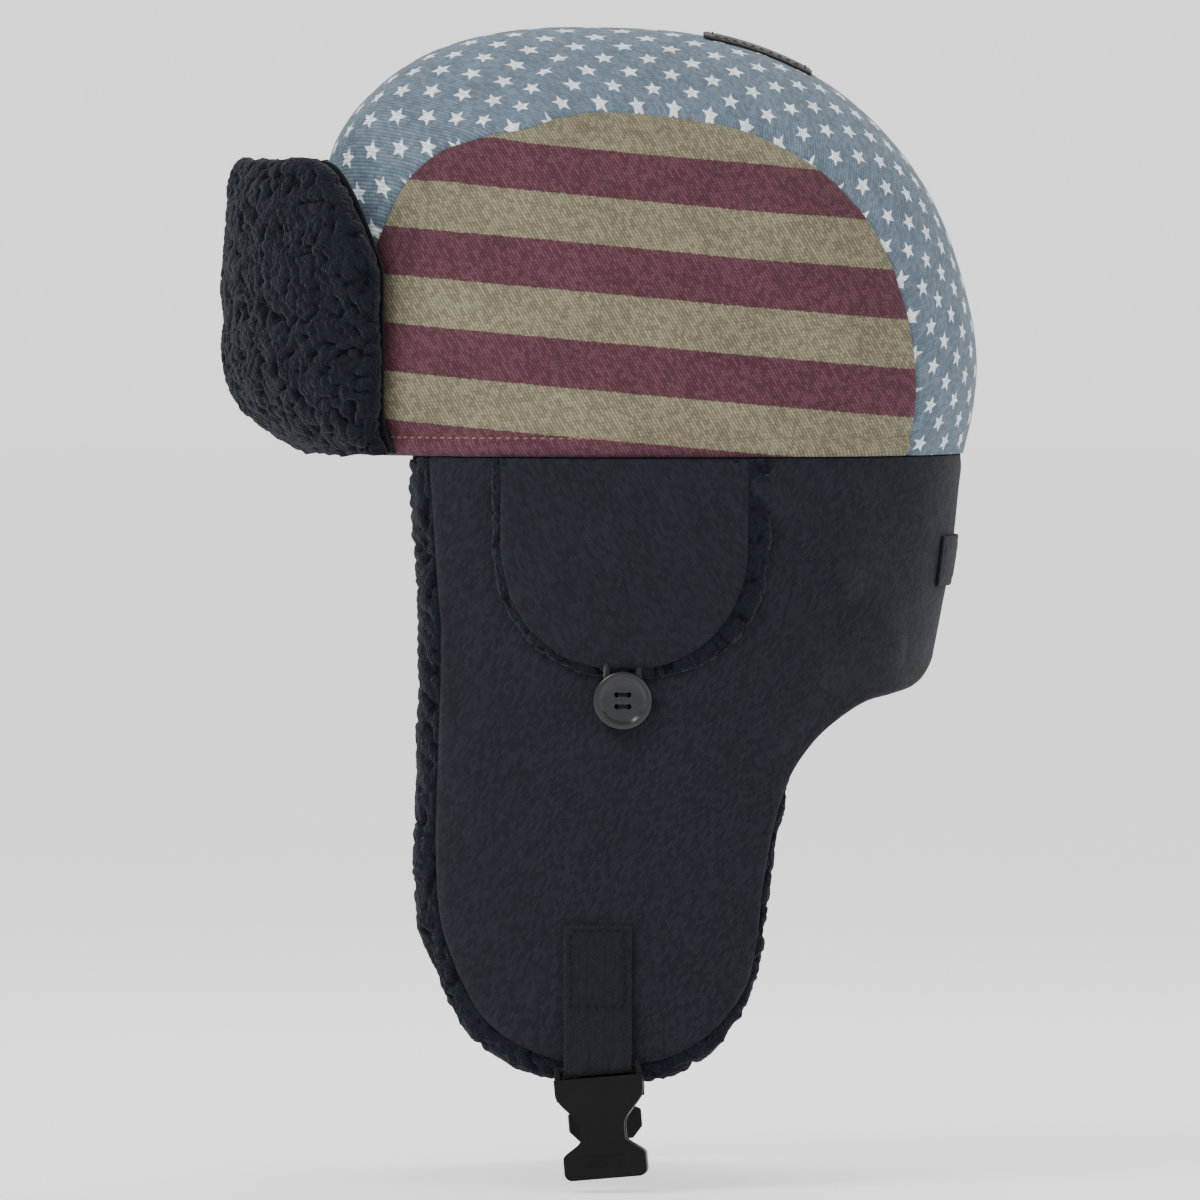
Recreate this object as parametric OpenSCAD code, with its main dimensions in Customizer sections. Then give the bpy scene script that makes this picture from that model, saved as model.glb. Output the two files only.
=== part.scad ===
// Trapper hat: padded crown, turned-up front visor, ear flaps with buttoned ear tabs, neck flap
// and a side-release chin buckle.
// Frame: the front is -Y, the wearer's left is +X, up is +Z. The origin is the centre of the head
// opening, in the plane of the seam between the crown and the flaps.

/* [Crown] */
// Length of the crown from front to back, outside
crown_len = 224; // [200:1:245]
// Width of the crown from side to side, outside
crown_wid = 172; // [155:1:190]
// Height of the crown above the seam
crown_h = 146; // [125:1:165]
// Width of the centre panel that runs from front to back
centre_wid = 100; // [84:1:112]
// How far the top of the crown leans to the front
crown_lean = 20; // [5:1:26]
// Share by which the crown draws in at the seam
hem_tuck = 0.05; // [0:0.01:0.08]
// Thickness of the outer cloth
cloth = 1.2; // [0.8:0.1:1.8]
// Thickness of the batting under the cloth
batting = 3.5; // [2:0.5:5]
// Thickness of the lining
lining = 0.8; // [0.5:0.1:1.2]
// Height of the sweatband
band_h = 28; // [20:1:36]
// Width of the leather patch on the crown
patch_wid = 26; // [20:1:60]

/* [Flaps] */
// Length of an ear flap below the seam
flap_len = 205; // [170:1:235]
// Thickness of the fleece
fleece = 9.5; // [6:0.5:12]
// How far the fleece stands out past the front edge of the cloth
fleece_edge = 8; // [3:1:12]
// Distance that the flap's lower end stands outward
flap_flare = 14; // [0:1:22]
// Height of the neck flap below the seam
neck_drop = 80; // [60:1:95]
// Distance that the lower edge of the neck flap draws in at the back
neck_lean = 12; // [0:1:20]

/* [Visor] */
// Height of the turned-up visor
visor_h = 100; // [70:1:115]
// Distance from the crown's front to the visor's face
visor_reach = 41; // [30:1:50]
// Thickness of the stiff layer inside the visor
interfacing = 0.8; // [0.4:0.1:1.5]

/* [Ear tab and button] */
// Width of the ear tab
tab_wid = 84; // [60:1:92]
// Distance from the seam to the ear tab's lower edge
tab_drop = 71.6; // [55:0.5:78]
// Thickness of the ear tab's pile lining
tab_pile = 2.4; // [1.5:0.1:4]
// Diameter of the button
button_d = 20; // [15:0.5:24]
// Thickness of the button
button_t = 3.5; // [2.5:0.5:5]
// Diameter of the elastic cord
cord_d = 2; // [1.5:0.5:2.5]

/* [Strap and buckle] */
// Width of the webbing
web_wid = 23; // [20:0.5:25]
// Thickness of the webbing
web_t = 1.1; // [0.8:0.1:1.6]
// Distance from the seam to the strap's upper edge
strap_top = 158; // [130:1:165]
// Height of the stitched part of the strap
strap_sewn = 29; // [20:1:34]
// Diameter of the bar that the webbing goes round
bar_d = 2.4; // [2:0.1:3]
// Thickness of the buckle
buckle_t = 7.2; // [6:0.2:9]
// Width of the buckle's foot
foot_wid = 28; // [25:0.5:32]
// Width of the buckle's waist
waist_wid = 15.2; // [13:0.2:18]
// Length of the buckle below the bar
buckle_len = 37.5; // [32:0.5:44]
// Angle at which the buckles hang askew
buckle_tilt = 5; // [0:1:8]

/* [Hidden] */
$fn = 48;
layer_gap = 0.3;             // between one layer of cloth and the next
fleece_gap = 0.6;            // between cloth and fleece, whose faces curve differently
band_gap = 1.2;              // between the lining and the sweatband
seam_gap = 0.4;              // between the crown and what is sewn under it
centre_half = centre_wid / 2;
panel_gap = 0.15;            // from the seam between two panels to either panel's edge
plan_round = 2.2;            // power of the oval plan: 2 is an ellipse
side_round = 2.7;            // power of the crown's outline, seen from the side
tuck_h = 40;                 // height over which the crown draws in to the seam
side_share = 0.997;          // how far up the seam a side panel is drawn
// Depths below the crown's face
batting_d = cloth + layer_gap;
lining_d = batting_d + batting + layer_gap;
inner_d = lining_d + lining;
band_d = inner_d + band_gap;
band_t = 1.2;
label_d = band_d + band_t + fleece_gap;
label_t = 0.5;
label_turn = 8;              // half the angle the label takes up at the back
label_low = 3;
band_join = 0.5;             // half the angle between the sweatband's two ends, at the back
patch_front = 101;           // the patch's front and rear edges, as angles over the top
patch_rear = 117;
patch_t = 1.1;
back_tab_half = 20;
back_tab_top = -28;
back_tab_low = -45;
fleece_d = cloth + fleece_gap;
// The fold line of a flap: it runs from the visor's end of the seam to the ear flap's rear edge
flap_front = -0.6875 * crown_len / 2;      // front edge of the cloth, at the seam
split_y = 0.32 * crown_len / 2;            // where the ear flap meets the neck flap
split_gap = 0.9;
under_gap = 2.5;                           // below the neck flap's end, clear of its swing
hem_a = crown_len / 2 * (1 - hem_tuck);
hem_b = crown_wid / 2 * (1 - hem_tuck);
hinge_slope = (hem_x(split_y, 0) - hem_x(flap_front, 0)) / (split_y - flap_front);
round_h = 0.27 * flap_len;                 // height of the flap's rounded lower end
flap_mid = -19;                            // middle of the lower end
flap_half = 56;                            // half its width
end_share = 0.985;                         // how far the rounded end is drawn
end_round = 2.6;                           // power of the rounded end: 2 is an ellipse
rear_sweep = 14;                           // how much wider the flap is at its notch
rear_sweep_h = 60;                         // height over which it widens
// Ear tab
tab_y = -9.5;
tab_top = 4;
tab_round = 0.61 * tab_drop;
tab_pile_d = -seam_gap - tab_pile;
tab_cloth_d = tab_pile_d - layer_gap;
// Button
button_y = -10;
button_z = -tab_drop - seam_gap - button_d / 2;
button_x = flap_x(button_y, button_z - button_d / 2, 0) + seam_gap;
loop_r = 5.5;
loop_x = button_x + cord_d / 2;
disc_x = button_x + cord_d + layer_gap;
hole_r = 0.9;
hole_off = 2;
thread_r = 0.5;
// Strap
strap_y = -18.5;
strap_t = 2 * web_t;
strap_lean = 13;                           // outward lean of the free loop
strap_z = -strap_top - strap_sewn;
strap_x = flap_x(strap_y, strap_z, -layer_gap - strap_t / 2);
loop_in = bar_d / 2 + layer_gap;
loop_out = loop_in + web_t;
free_len = 19;                             // from the last stitches to the bar
bar_turn = atan((hem_x(strap_y + 1, 0) - hem_x(strap_y - 1, 0)) / 2);
bar_x = strap_x + free_len * sin(strap_lean);
bar_z = strap_z - free_len * cos(strap_lean);
// Buckle
slot_half = web_wid / 2 + 0.7;
arm_wid = 2.8;
slot_end = -6.5;                           // lower edge of the slot, from the bar
shoulder_end = -8;
waist_top = -20;
waist_end = -24;
foot_top = -30;
cavity_wid = 22;
cavity_t = 4.4;
cavity_top = -17;
plug_base = -15;
prong_gap = 0.4;
prong_y = 8;
prong_w = 2.4;
prong_t = 3.4;
prong_len = 21;
barb_wid = 3.6;
tongue_w = 4.4;
tongue_len = 18;

function power(base, e) = pow(max(base, 0), e);
function smooth(t) = let (s = min(max(t, 0), 1)) s * s * (3 - 2 * s);
function mix(p, q, t) = p * (1 - t) + q * t;

// ---- The crown's face, at depth d below it ----
function tuck(z) = 1 - hem_tuck * power(1 - z / tuck_h, 2);
function top_h(d) = crown_h - d;
function half_len(z, d) =
    (crown_len / 2 * tuck(z) - d) * power(1 - power(z / top_h(d), side_round), 1 / side_round);
function half_wid(z, d) = (crown_wid / 2 * tuck(z) - d) * power(1 - power(z / top_h(d), 2), 1 / 2);
function lean_y(z) = -crown_lean * power(z / crown_h, 3);
// The other half-axis of the oval plan at a distance v along an axis of half-length own
function across(v, own, other) =
    other * power(1 - power(abs(v) / max(own, 0.001), plan_round), 1 / plan_round);

// A point of the centre panel: x across, and s from 0 at the front, over the top, to 180
function centre_pt(x, s, d) =
    let (z = top_h(d) * sqrt(1 - pow(x / (crown_wid / 2 - d), 2)) * sin(s))
    [x, lean_y(z) - sign(90 - s) * across(x, half_wid(z, d), half_len(z, d)), z];
function centre_grid(half, s0, s1, nx, ns, d) =
    [for (j = [0:ns]) [for (i = [0:nx])
        centre_pt(mix(-half, half, i / nx), mix(s0, s1, j / ns), d)]];

// A point of the left side panel: v from -1 at the front edge to 1, and t from the seam to the top
function side_pt(v, t, d) =
    let (
        edge = centre_half + panel_gap,
        z = side_share * top_h(d) * sqrt(1 - pow(edge / (crown_wid / 2 - d), 2)) * sin(90 * t),
        y = v * across(edge, half_wid(z, d), half_len(z, d))
    )
    [across(y, half_len(z, d), half_wid(z, d)), lean_y(z) + y, z];
function side_grid(nv, nt, d) =
    [for (j = [0:nt]) [for (i = [0:nv]) side_pt(mix(-1, 1, i / nv), j / nt, d)]];

// ---- The flaps hang from the crown's plan at the seam ----
function hem_x(y, d) = across(y, hem_a - d, hem_b - d);
function flare(z) = flap_flare * power(-z / flap_len, 1.5);
function flap_x(y, z, d) = hem_x(y, d) + flare(z);
// Front and rear edges of the ear flap's cloth at height z
function lower_half(z) =
    flap_half * power(1 - power((-z - flap_len + round_h) / round_h, end_round), 1 / end_round);
function in_round(z) = -z > flap_len - round_h;
function flap_front_y(z) =
    in_round(z) ? flap_mid - lower_half(z) : mix(flap_front, flap_mid - flap_half, -z / (flap_len - round_h));
function flap_rear_y(z, d) =
    in_round(z) ? flap_mid + lower_half(z)
    : -z < neck_drop + under_gap - 0.01 ? split_y + hinge_slope * (d - flare(z))
    : flap_mid + flap_half + rear_sweep * power((flap_len - round_h + z) / rear_sweep_h, 2);

// Heights of the rows of an ear flap: closely spaced where its outline turns
flap_rows = concat(
    [for (j = [0:3]) mix(-seam_gap, -neck_drop, j / 3)],
    [for (j = [0:4]) mix(-neck_drop - under_gap, -flap_len + round_h, j / 4)],
    [for (j = [1:8]) -flap_len + round_h * (1 - end_share * sin(90 * j / 8))]);
function flap_grid(extra, d, cols) =
    [for (z = flap_rows)
        let (y0 = flap_front_y(z) - extra, y1 = flap_rear_y(z, d))
        [for (i = [0:cols]) let (y = mix(y0, y1, i / cols)) [flap_x(y, z, d), y, z]]];

// A point of the oval plan: turn is 0 at the wearer's left, 90 at the back and 180 at the right
function plan_pt(turn, half_w, half_l) = [
    sign(cos(turn)) * half_w * power(abs(cos(turn)), 2 / plan_round),
    sign(sin(turn)) * half_l * power(abs(sin(turn)), 2 / plan_round)];
// A point of the neck flap
function neck_scale(turn, z) =
    1 - (mix(-flare(-neck_drop), neck_lean, pow(sin(turn), 2))) * power(-z / neck_drop, 1.5) / hem_a;
function neck_pt(turn, z, d) =
    let (p = plan_pt(turn, hem_b - d, hem_a - d) * neck_scale(turn, z)) [p[0], p[1], z];
function neck_turn(d) =
    asin(pow((split_y + split_gap + hinge_slope * d) / (hem_a - d), plan_round / 2));
function neck_grid(t0, t1, z0, z1, cols, rows, d) =
    [for (j = [0:rows]) [for (i = [0:cols]) neck_pt(mix(t0, t1, i / cols), mix(z0, z1, j / rows), d)]];

// A point of the visor: v across from -1 to 1, t up from 0 to 1, and d the depth behind its face
visor_turn = 68;
visor_span = 0.86;           // half width of the visor's curve, as a share of the crown's
visor_foot = 53;
visor_t = fleece + cloth + interfacing + 2 * layer_gap + seam_gap;
function visor_top(v) = visor_h * (1 - 0.37 * power((abs(v) - 0.7) / 0.3, 2));
function visor_swell(z) =
    1 - power(1 - z / (0.32 * visor_h), 2) - 0.14 * power(z / visor_h - 0.59, 2) / pow(0.41, 2);
function visor_pt(v, t, d) =
    let (
        z = mix(2 * seam_gap, visor_top(v), t),
        out = visor_t - d,
        turn = v * visor_turn,
        foot_x = (visor_foot + 0.55 * out) * sin(turn) / sin(visor_turn),
        foot_z = min(z, tuck_h),
        foot = [foot_x, lean_y(foot_z) - across(foot_x, half_wid(foot_z, -out), half_len(foot_z, -out))],
        centre = 0.4 * hem_a + visor_reach,
        face = [
            (hem_b * visor_span - d) * sin(turn),
            -hem_a - visor_reach + centre - (centre - d) * cos(turn)],
        p = mix(foot, face, visor_swell(z))
    )
    [p[0], p[1], z];
function visor_grid(cols, rows, d) =
    [for (j = [0:rows]) [for (i = [0:cols]) visor_pt(mix(-1, 1, i / cols), j / rows, d)]];

// ---- Solids ----
// A closed sheet between two grids of points, the outer one first
module sheet(outer, inner) {
    rows = len(outer);
    cols = len(outer[0]);
    n = rows * cols;
    rim = concat(
        [for (i = [0:cols - 2]) i],
        [for (j = [0:rows - 2]) j * cols + cols - 1],
        [for (i = [cols - 1:-1:1]) (rows - 1) * cols + i],
        [for (j = [rows - 1:-1:1]) j * cols]);
    sides = len(rim);
    polyhedron(
        points = concat([for (row = outer) each row], [for (row = inner) each row]),
        faces = concat(
            [for (j = [0:rows - 2], i = [0:cols - 2]) let (a = j * cols + i)
                each [[a, a + cols, a + cols + 1], [a, a + cols + 1, a + 1]]],
            [for (j = [0:rows - 2], i = [0:cols - 2]) let (a = n + j * cols + i)
                each [[a, a + cols + 1, a + cols], [a, a + 1, a + cols + 1]]],
            [for (k = [0:sides - 1]) let (a = rim[k], b = rim[(k + 1) % sides])
                each [[a, b, b + n], [a, b + n, a + n]]]));
}
module on_side(side) {
    if (side > 0) children();
    else mirror([1, 0, 0]) children();
}
module centre_layer(d, t) {
    half = centre_half - panel_gap;
    sheet(centre_grid(half, 0, 180, 6, 24, d), centre_grid(half, 0, 180, 6, 24, d + t));
}
module side_layer(d, t) {
    sheet(side_grid(12, 8, d), side_grid(12, 8, d + t));
}
// A layer of the crown's inside: the centre and both sides
module crown_layer(d, t) {
    centre_layer(d, t);
    side_layer(d, t);
    mirror([1, 0, 0]) side_layer(d, t);
}
// A sheet on the neck flap's back, between two heights
module back_sheet(half_turn, z0, z1, d, t) {
    sheet(
        neck_grid(90 - half_turn, 90 + half_turn, z0, z1, 8, 2, d),
        neck_grid(90 - half_turn, 90 + half_turn, z0, z1, 8, 2, d + t));
}

// ---- Crown ----
module crown_centre_panel() { color("slategray") centre_layer(0, cloth); }
module crown_left_panel() { color("rosybrown") side_layer(0, cloth); }
module crown_right_panel() { color("rosybrown") on_side(-1) side_layer(0, cloth); }
module crown_batting() { color("ivory") crown_layer(batting_d, batting); }
module crown_lining() { color("midnightblue") crown_layer(lining_d, lining); }
function band_grid(t0, t1, z0, z1, cols, rows, d) =
    [for (j = [0:rows]) [for (i = [0:cols])
        let (z = mix(z0, z1, j / rows), turn = mix(t0, t1, i / cols),
            p = plan_pt(turn, half_wid(z, d), half_len(z, d)))
        [p[0], p[1], z]]];
module sweatband() {
    color("black")
        sheet(
            band_grid(450 - band_join, 90 + band_join, 1, band_h, 40, 2, band_d),
            band_grid(450 - band_join, 90 + band_join, 1, band_h, 40, 2, band_d + band_t));
}
module care_label() {
    color("white")
        sheet(
            band_grid(90 + label_turn, 90 - label_turn, label_low, band_h, 4, 2, label_d),
            band_grid(90 + label_turn, 90 - label_turn, label_low, band_h, 4, 2, label_d + label_t));
}
module crown_patch() {
    color("saddlebrown")
        sheet(
            centre_grid(patch_wid / 2, patch_front, patch_rear, 6, 4, -layer_gap - patch_t),
            centre_grid(patch_wid / 2, patch_front, patch_rear, 6, 4, -layer_gap));
}

// ---- Neck flap ----
module neck_layer(d, t) {
    sheet(
        neck_grid(neck_turn(d), 180 - neck_turn(d), -seam_gap, -neck_drop, 24, 4, d),
        neck_grid(neck_turn(d + t), 180 - neck_turn(d + t), -seam_gap, -neck_drop, 24, 4, d + t));
}
module neck_shell() { color("midnightblue") neck_layer(0, cloth); }
module neck_fleece() { color("darkslategray") neck_layer(fleece_d, fleece); }
module neck_tab() {
    color("midnightblue")
        back_sheet(back_tab_half, back_tab_top, back_tab_low, -layer_gap - cloth, cloth);
}

// ---- Visor ----
module visor_layer(d, t) {
    sheet(visor_grid(16, 8, d), visor_grid(16, 8, d + t));
}
module visor_fleece() { color("darkslategray") visor_layer(0, fleece); }
module visor_interfacing() { color("white") visor_layer(fleece + layer_gap, interfacing); }
module visor_shell() {
    color("midnightblue") visor_layer(fleece + interfacing + 2 * layer_gap, cloth);
}

// ---- Ear flaps, for the wearer's left: the right ones mirror them ----
module flap_shell() {
    color("midnightblue") sheet(flap_grid(0, 0, 9), flap_grid(0, cloth, 9));
}
module flap_fleece() {
    color("darkslategray")
        sheet(flap_grid(fleece_edge, fleece_d, 9), flap_grid(fleece_edge, fleece_d + fleece, 9));
}
function tab_half(z) =
    tab_wid / 2 * power(1 - power((-z - tab_drop + tab_round) / tab_round, 2.2), 1 / 2.2);
function tab_grid(d) =
    [for (j = [0:9])
        let (z = j < 3 ? mix(-tab_top, -tab_drop + tab_round, j / 3)
            : -tab_drop + tab_round * (1 - end_share * sin(15 * (j - 3))))
        [for (i = [0:8]) let (y = tab_y + mix(-1, 1, i / 8) * tab_half(z)) [flap_x(y, z, d), y, z]]];
module tab_pile_lining() {
    color("darkslategray") sheet(tab_grid(tab_pile_d), tab_grid(-seam_gap));
}
module tab_shell() {
    color("midnightblue") sheet(tab_grid(tab_cloth_d - cloth), tab_grid(tab_cloth_d));
}
// Elastic cord round the button's shank: a half turn and two legs up to the ear tab
module tab_loop() {
    leg = -button_z - tab_drop - seam_gap / 2;
    color("black")
        translate([loop_x, button_y, button_z]) {
            rotate([0, 90, 0]) rotate([0, 0, -90]) rotate_extrude(angle = 180)
                translate([loop_r, 0]) circle(d = cord_d, $fn = 24);
            for (side = [-1, 1]) translate([0, side * loop_r, 0]) cylinder(d = cord_d, h = leg, $fn = 24);
        }
}
module button_holes(r) {
    for (a = [45:90:315]) rotate([0, 0, a]) translate([hole_off * sqrt(2), 0, 0]) children();
}
module button() {
    rim = 2.2;
    dish = 0.9;
    color([0.04, 0.04, 0.05])
        translate([disc_x, button_y, button_z]) rotate([0, 90, 0]) difference() {
            rotate_extrude() polygon([
                [0, 0], [button_d / 2 - 1, 0], [button_d / 2, 1], [button_d / 2, button_t - 1],
                [button_d / 2 - 1, button_t], [button_d / 2 - rim, button_t],
                [button_d / 2 - rim - 1, button_t - dish], [0, button_t - dish]]);
            button_holes() translate([0, 0, -1]) cylinder(r = hole_r, h = button_t + 2, $fn = 24);
        }
}
module button_thread() {
    face = button_t - 0.9;
    color("black")
        translate([disc_x, button_y, button_z]) rotate([0, 90, 0]) {
            translate([0, 0, -cord_d - 2 * layer_gap])
                cylinder(r = loop_r - cord_d, h = cord_d + layer_gap);
            button_holes() translate([0, 0, -2 * layer_gap])
                cylinder(r = thread_r, h = face + 2 * layer_gap + 2 * thread_r, $fn = 16);
            for (side = [-1, 1]) translate([0, side * hole_off, face + thread_r])
                rotate([0, 90, 0]) cylinder(r = 0.8 * thread_r, h = 2 * hole_off, center = true, $fn = 16);
        }
}

// The frame of the buckle's bar, which lies along its Y
module at_bar() {
    translate([bar_x, strap_y, bar_z]) rotate([0, 0, -bar_turn]) rotate([buckle_tilt, 0, 0]) children();
}

// ---- Strap ----
function strap_grid(z0, z1, d) =
    [for (j = [0:4]) [for (i = [0:4])
        let (y = strap_y + web_wid * (i / 4 - 0.5), z = mix(z0, z1, j / 4)) [flap_x(y, z, d), y, z]]];
module strap_sewn_part() {
    color("midnightblue")
        sheet(
            strap_grid(-strap_top, strap_z + layer_gap, -layer_gap - strap_t),
            strap_grid(-strap_top, strap_z + layer_gap, -layer_gap));
}
// The free loop of webbing round the bar
module strap_free() {
    spare = 2;                             // cut off level with the last stitches
    color("midnightblue")
        intersection() {
            at_bar() rotate([0, -strap_lean, 0])
                translate([0, web_wid / 2, 0]) rotate([90, 0, 0]) linear_extrude(web_wid) difference() {
                    union() {
                        circle(r = loop_out);
                        polygon([
                            [-loop_out, 0], [loop_out, 0],
                            [strap_t / 2, free_len + spare], [-strap_t / 2, free_len + spare]]);
                    }
                    circle(r = loop_in);
                }
            translate([bar_x - web_wid, strap_y - web_wid, bar_z - web_wid])
                cube([2 * web_wid, 2 * web_wid, web_wid + strap_z - layer_gap - bar_z]);
        }
}

// ---- Buckle: the body hangs down from the bar ----
// An upright plate: a shape drawn in y and z, with its thickness along x
module plate(t) {
    rotate([90, 0, 90]) linear_extrude(t, center = true) children();
}
module bar_frame() {
    arm_x = slot_half + arm_wid / 2;
    rotate([90, 0, 0]) cylinder(d = bar_d, h = 2 * slot_half + 0.2, center = true);
    for (side = [-1, 1]) plate(bar_d + 1.2) {
        translate([side * arm_x, 0]) circle(d = arm_wid);
        translate([side * arm_x - arm_wid / 2, shoulder_end]) square([arm_wid, -shoulder_end]);
    }
}
function socket_half(z) =
    let (top = slot_half + arm_wid)
    z > waist_end
        ? mix(top, waist_wid / 2, smooth((shoulder_end - z) / (shoulder_end - waist_top)))
        : mix(waist_wid / 2, foot_wid / 2, smooth((waist_end - z) / (waist_end - foot_top)));
module socket_outline() {
    steps = 18;
    corner = 2.5;
    low = -buckle_len + corner;
    edge = concat([[slot_half + arm_wid, slot_end]],
        [for (k = [0:steps]) let (z = mix(shoulder_end, low, k / steps)) [socket_half(z), z]]);
    polygon(concat(edge, [for (k = [len(edge) - 1:-1:0]) [-edge[k][0], edge[k][1]]]));
    for (side = [-1, 1]) translate([side * (foot_wid / 2 - corner), low]) circle(r = corner);
    translate([-foot_wid / 2 + corner, -buckle_len]) square([foot_wid - 2 * corner, 2 * corner]);
}
module socket_body() {
    color([0.09, 0.09, 0.09]) at_bar() {
        bar_frame();
        difference() {
            plate(buckle_t) socket_outline();
            translate([-cavity_t / 2, -cavity_wid / 2, -buckle_len - 1])
                cube([cavity_t, cavity_wid, buckle_len + 1 + cavity_top]);
        }
    }
}
module plug_body() {
    color([0.09, 0.09, 0.09]) at_bar() {
        bar_frame();
        plate(buckle_t) difference() {
            translate([-slot_half - arm_wid, plug_base])
                square([2 * (slot_half + arm_wid), slot_end - plug_base]);
            translate([-slot_half, slot_end]) square([2 * slot_half, 1]);
        }
        translate([-cavity_t / 2 + 0.6, -tongue_w / 2, plug_base - tongue_len])
            cube([cavity_t - 1.2, tongue_w, tongue_len + 1]);
    }
}
// A prong with its root at the top and its barb turned outward, along +Y
module prong(side) {
    low = plug_base - prong_gap - prong_len;
    barb_top = low + 10;
    color([0.09, 0.09, 0.09]) at_bar() plate(prong_t)
        polygon([
            [side * (prong_y - prong_w / 2), plug_base - prong_gap],
            [side * (prong_y + prong_w / 2), plug_base - prong_gap],
            [side * (prong_y + prong_w / 2), barb_top + 2],
            [side * (prong_y + prong_w / 2 + barb_wid), barb_top],
            [side * (prong_y + prong_w / 2 + barb_wid), low + 4],
            [side * (prong_y + prong_w / 2), low],
            [side * (prong_y - prong_w / 2), low]]);
}

crown_centre_panel();
crown_left_panel();
crown_right_panel();
crown_batting();
crown_lining();
sweatband();
crown_patch();
care_label();
neck_shell();
neck_fleece();
neck_tab();
visor_shell();
visor_interfacing();
visor_fleece();
flap_shell();  // left_flap_shell
on_side(-1) flap_shell();  // right_flap_shell
flap_fleece();  // left_flap_fleece
on_side(-1) flap_fleece();  // right_flap_fleece
tab_shell();  // left_tab_shell
on_side(-1) tab_shell();  // right_tab_shell
tab_pile_lining();  // left_tab_pile
on_side(-1) tab_pile_lining();  // right_tab_pile
tab_loop();  // left_tab_loop
on_side(-1) tab_loop();  // right_tab_loop
button();  // left_button
on_side(-1) button();  // right_button
button_thread();  // left_button_thread
on_side(-1) button_thread();  // right_button_thread
strap_sewn_part();  // left_strap_sewn
on_side(-1) strap_sewn_part();  // right_strap_sewn
strap_free();  // left_strap_loop
on_side(-1) strap_free();  // right_strap_loop
socket_body();  // buckle_socket
on_side(-1) plug_body();  // buckle_plug
on_side(-1) prong(-1);  // plug_prong_front
on_side(-1) prong(1);  // plug_prong_rear
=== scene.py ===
"""A trapper hat: padded crown of printed twill, sherpa visor, ear and neck flaps, and a chin buckle."""

import math

import bmesh
import bpy
import numpy as np
from bpy.props import FloatProperty, FloatVectorProperty, PointerProperty
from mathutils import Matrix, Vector


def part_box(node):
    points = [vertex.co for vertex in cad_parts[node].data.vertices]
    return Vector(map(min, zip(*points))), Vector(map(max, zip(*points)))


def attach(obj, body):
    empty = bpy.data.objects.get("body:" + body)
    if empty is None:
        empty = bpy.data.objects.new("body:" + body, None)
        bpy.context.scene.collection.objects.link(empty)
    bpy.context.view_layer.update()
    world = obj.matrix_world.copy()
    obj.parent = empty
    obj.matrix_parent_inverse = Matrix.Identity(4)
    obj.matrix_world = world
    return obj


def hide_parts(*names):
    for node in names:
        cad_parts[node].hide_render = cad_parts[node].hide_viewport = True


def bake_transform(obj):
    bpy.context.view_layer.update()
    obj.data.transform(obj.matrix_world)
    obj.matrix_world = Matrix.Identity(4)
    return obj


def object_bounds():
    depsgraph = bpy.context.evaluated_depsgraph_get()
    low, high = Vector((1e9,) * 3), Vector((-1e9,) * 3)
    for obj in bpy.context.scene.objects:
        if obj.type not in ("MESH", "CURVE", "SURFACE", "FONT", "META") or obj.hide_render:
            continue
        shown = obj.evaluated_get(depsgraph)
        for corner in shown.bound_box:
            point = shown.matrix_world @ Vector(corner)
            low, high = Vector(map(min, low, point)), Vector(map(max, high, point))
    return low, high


bl_info = {
    "name": "Trapper hat",
    "version": (1, 0, 0),
    "blender": (4, 5, 0),
    "location": "3D View > Sidebar > Hat",
    "description": "Builds a trapper hat on its packed frame",
    "category": "Object",
}

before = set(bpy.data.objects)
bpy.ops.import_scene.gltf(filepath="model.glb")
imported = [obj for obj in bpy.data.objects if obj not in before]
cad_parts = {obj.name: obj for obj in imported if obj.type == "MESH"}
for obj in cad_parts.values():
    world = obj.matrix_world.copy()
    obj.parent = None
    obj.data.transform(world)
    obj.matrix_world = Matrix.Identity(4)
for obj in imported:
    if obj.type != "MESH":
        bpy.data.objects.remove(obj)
CAD_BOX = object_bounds()
SIDES = (("left", 1), ("right", -1))
MM = 0.001
SHARP = math.radians(40)


# ---- Settings ----
def length(name, default, description):
    return FloatProperty(
        name=name, default=default, description=description, unit="LENGTH", precision=5, min=0.0
    )


def colour(name, r, g, b, description):
    """A colour property, its default given as display values from 0 to 255."""
    return FloatVectorProperty(
        name=name, description=description, subtype="COLOR", size=3, min=0, max=1,
        default=[linear(c / 255) for c in (r, g, b)],
    )


def linear(c):
    return c / 12.92 if c <= 0.04045 else ((c + 0.055) / 1.055) ** 2.4


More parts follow.
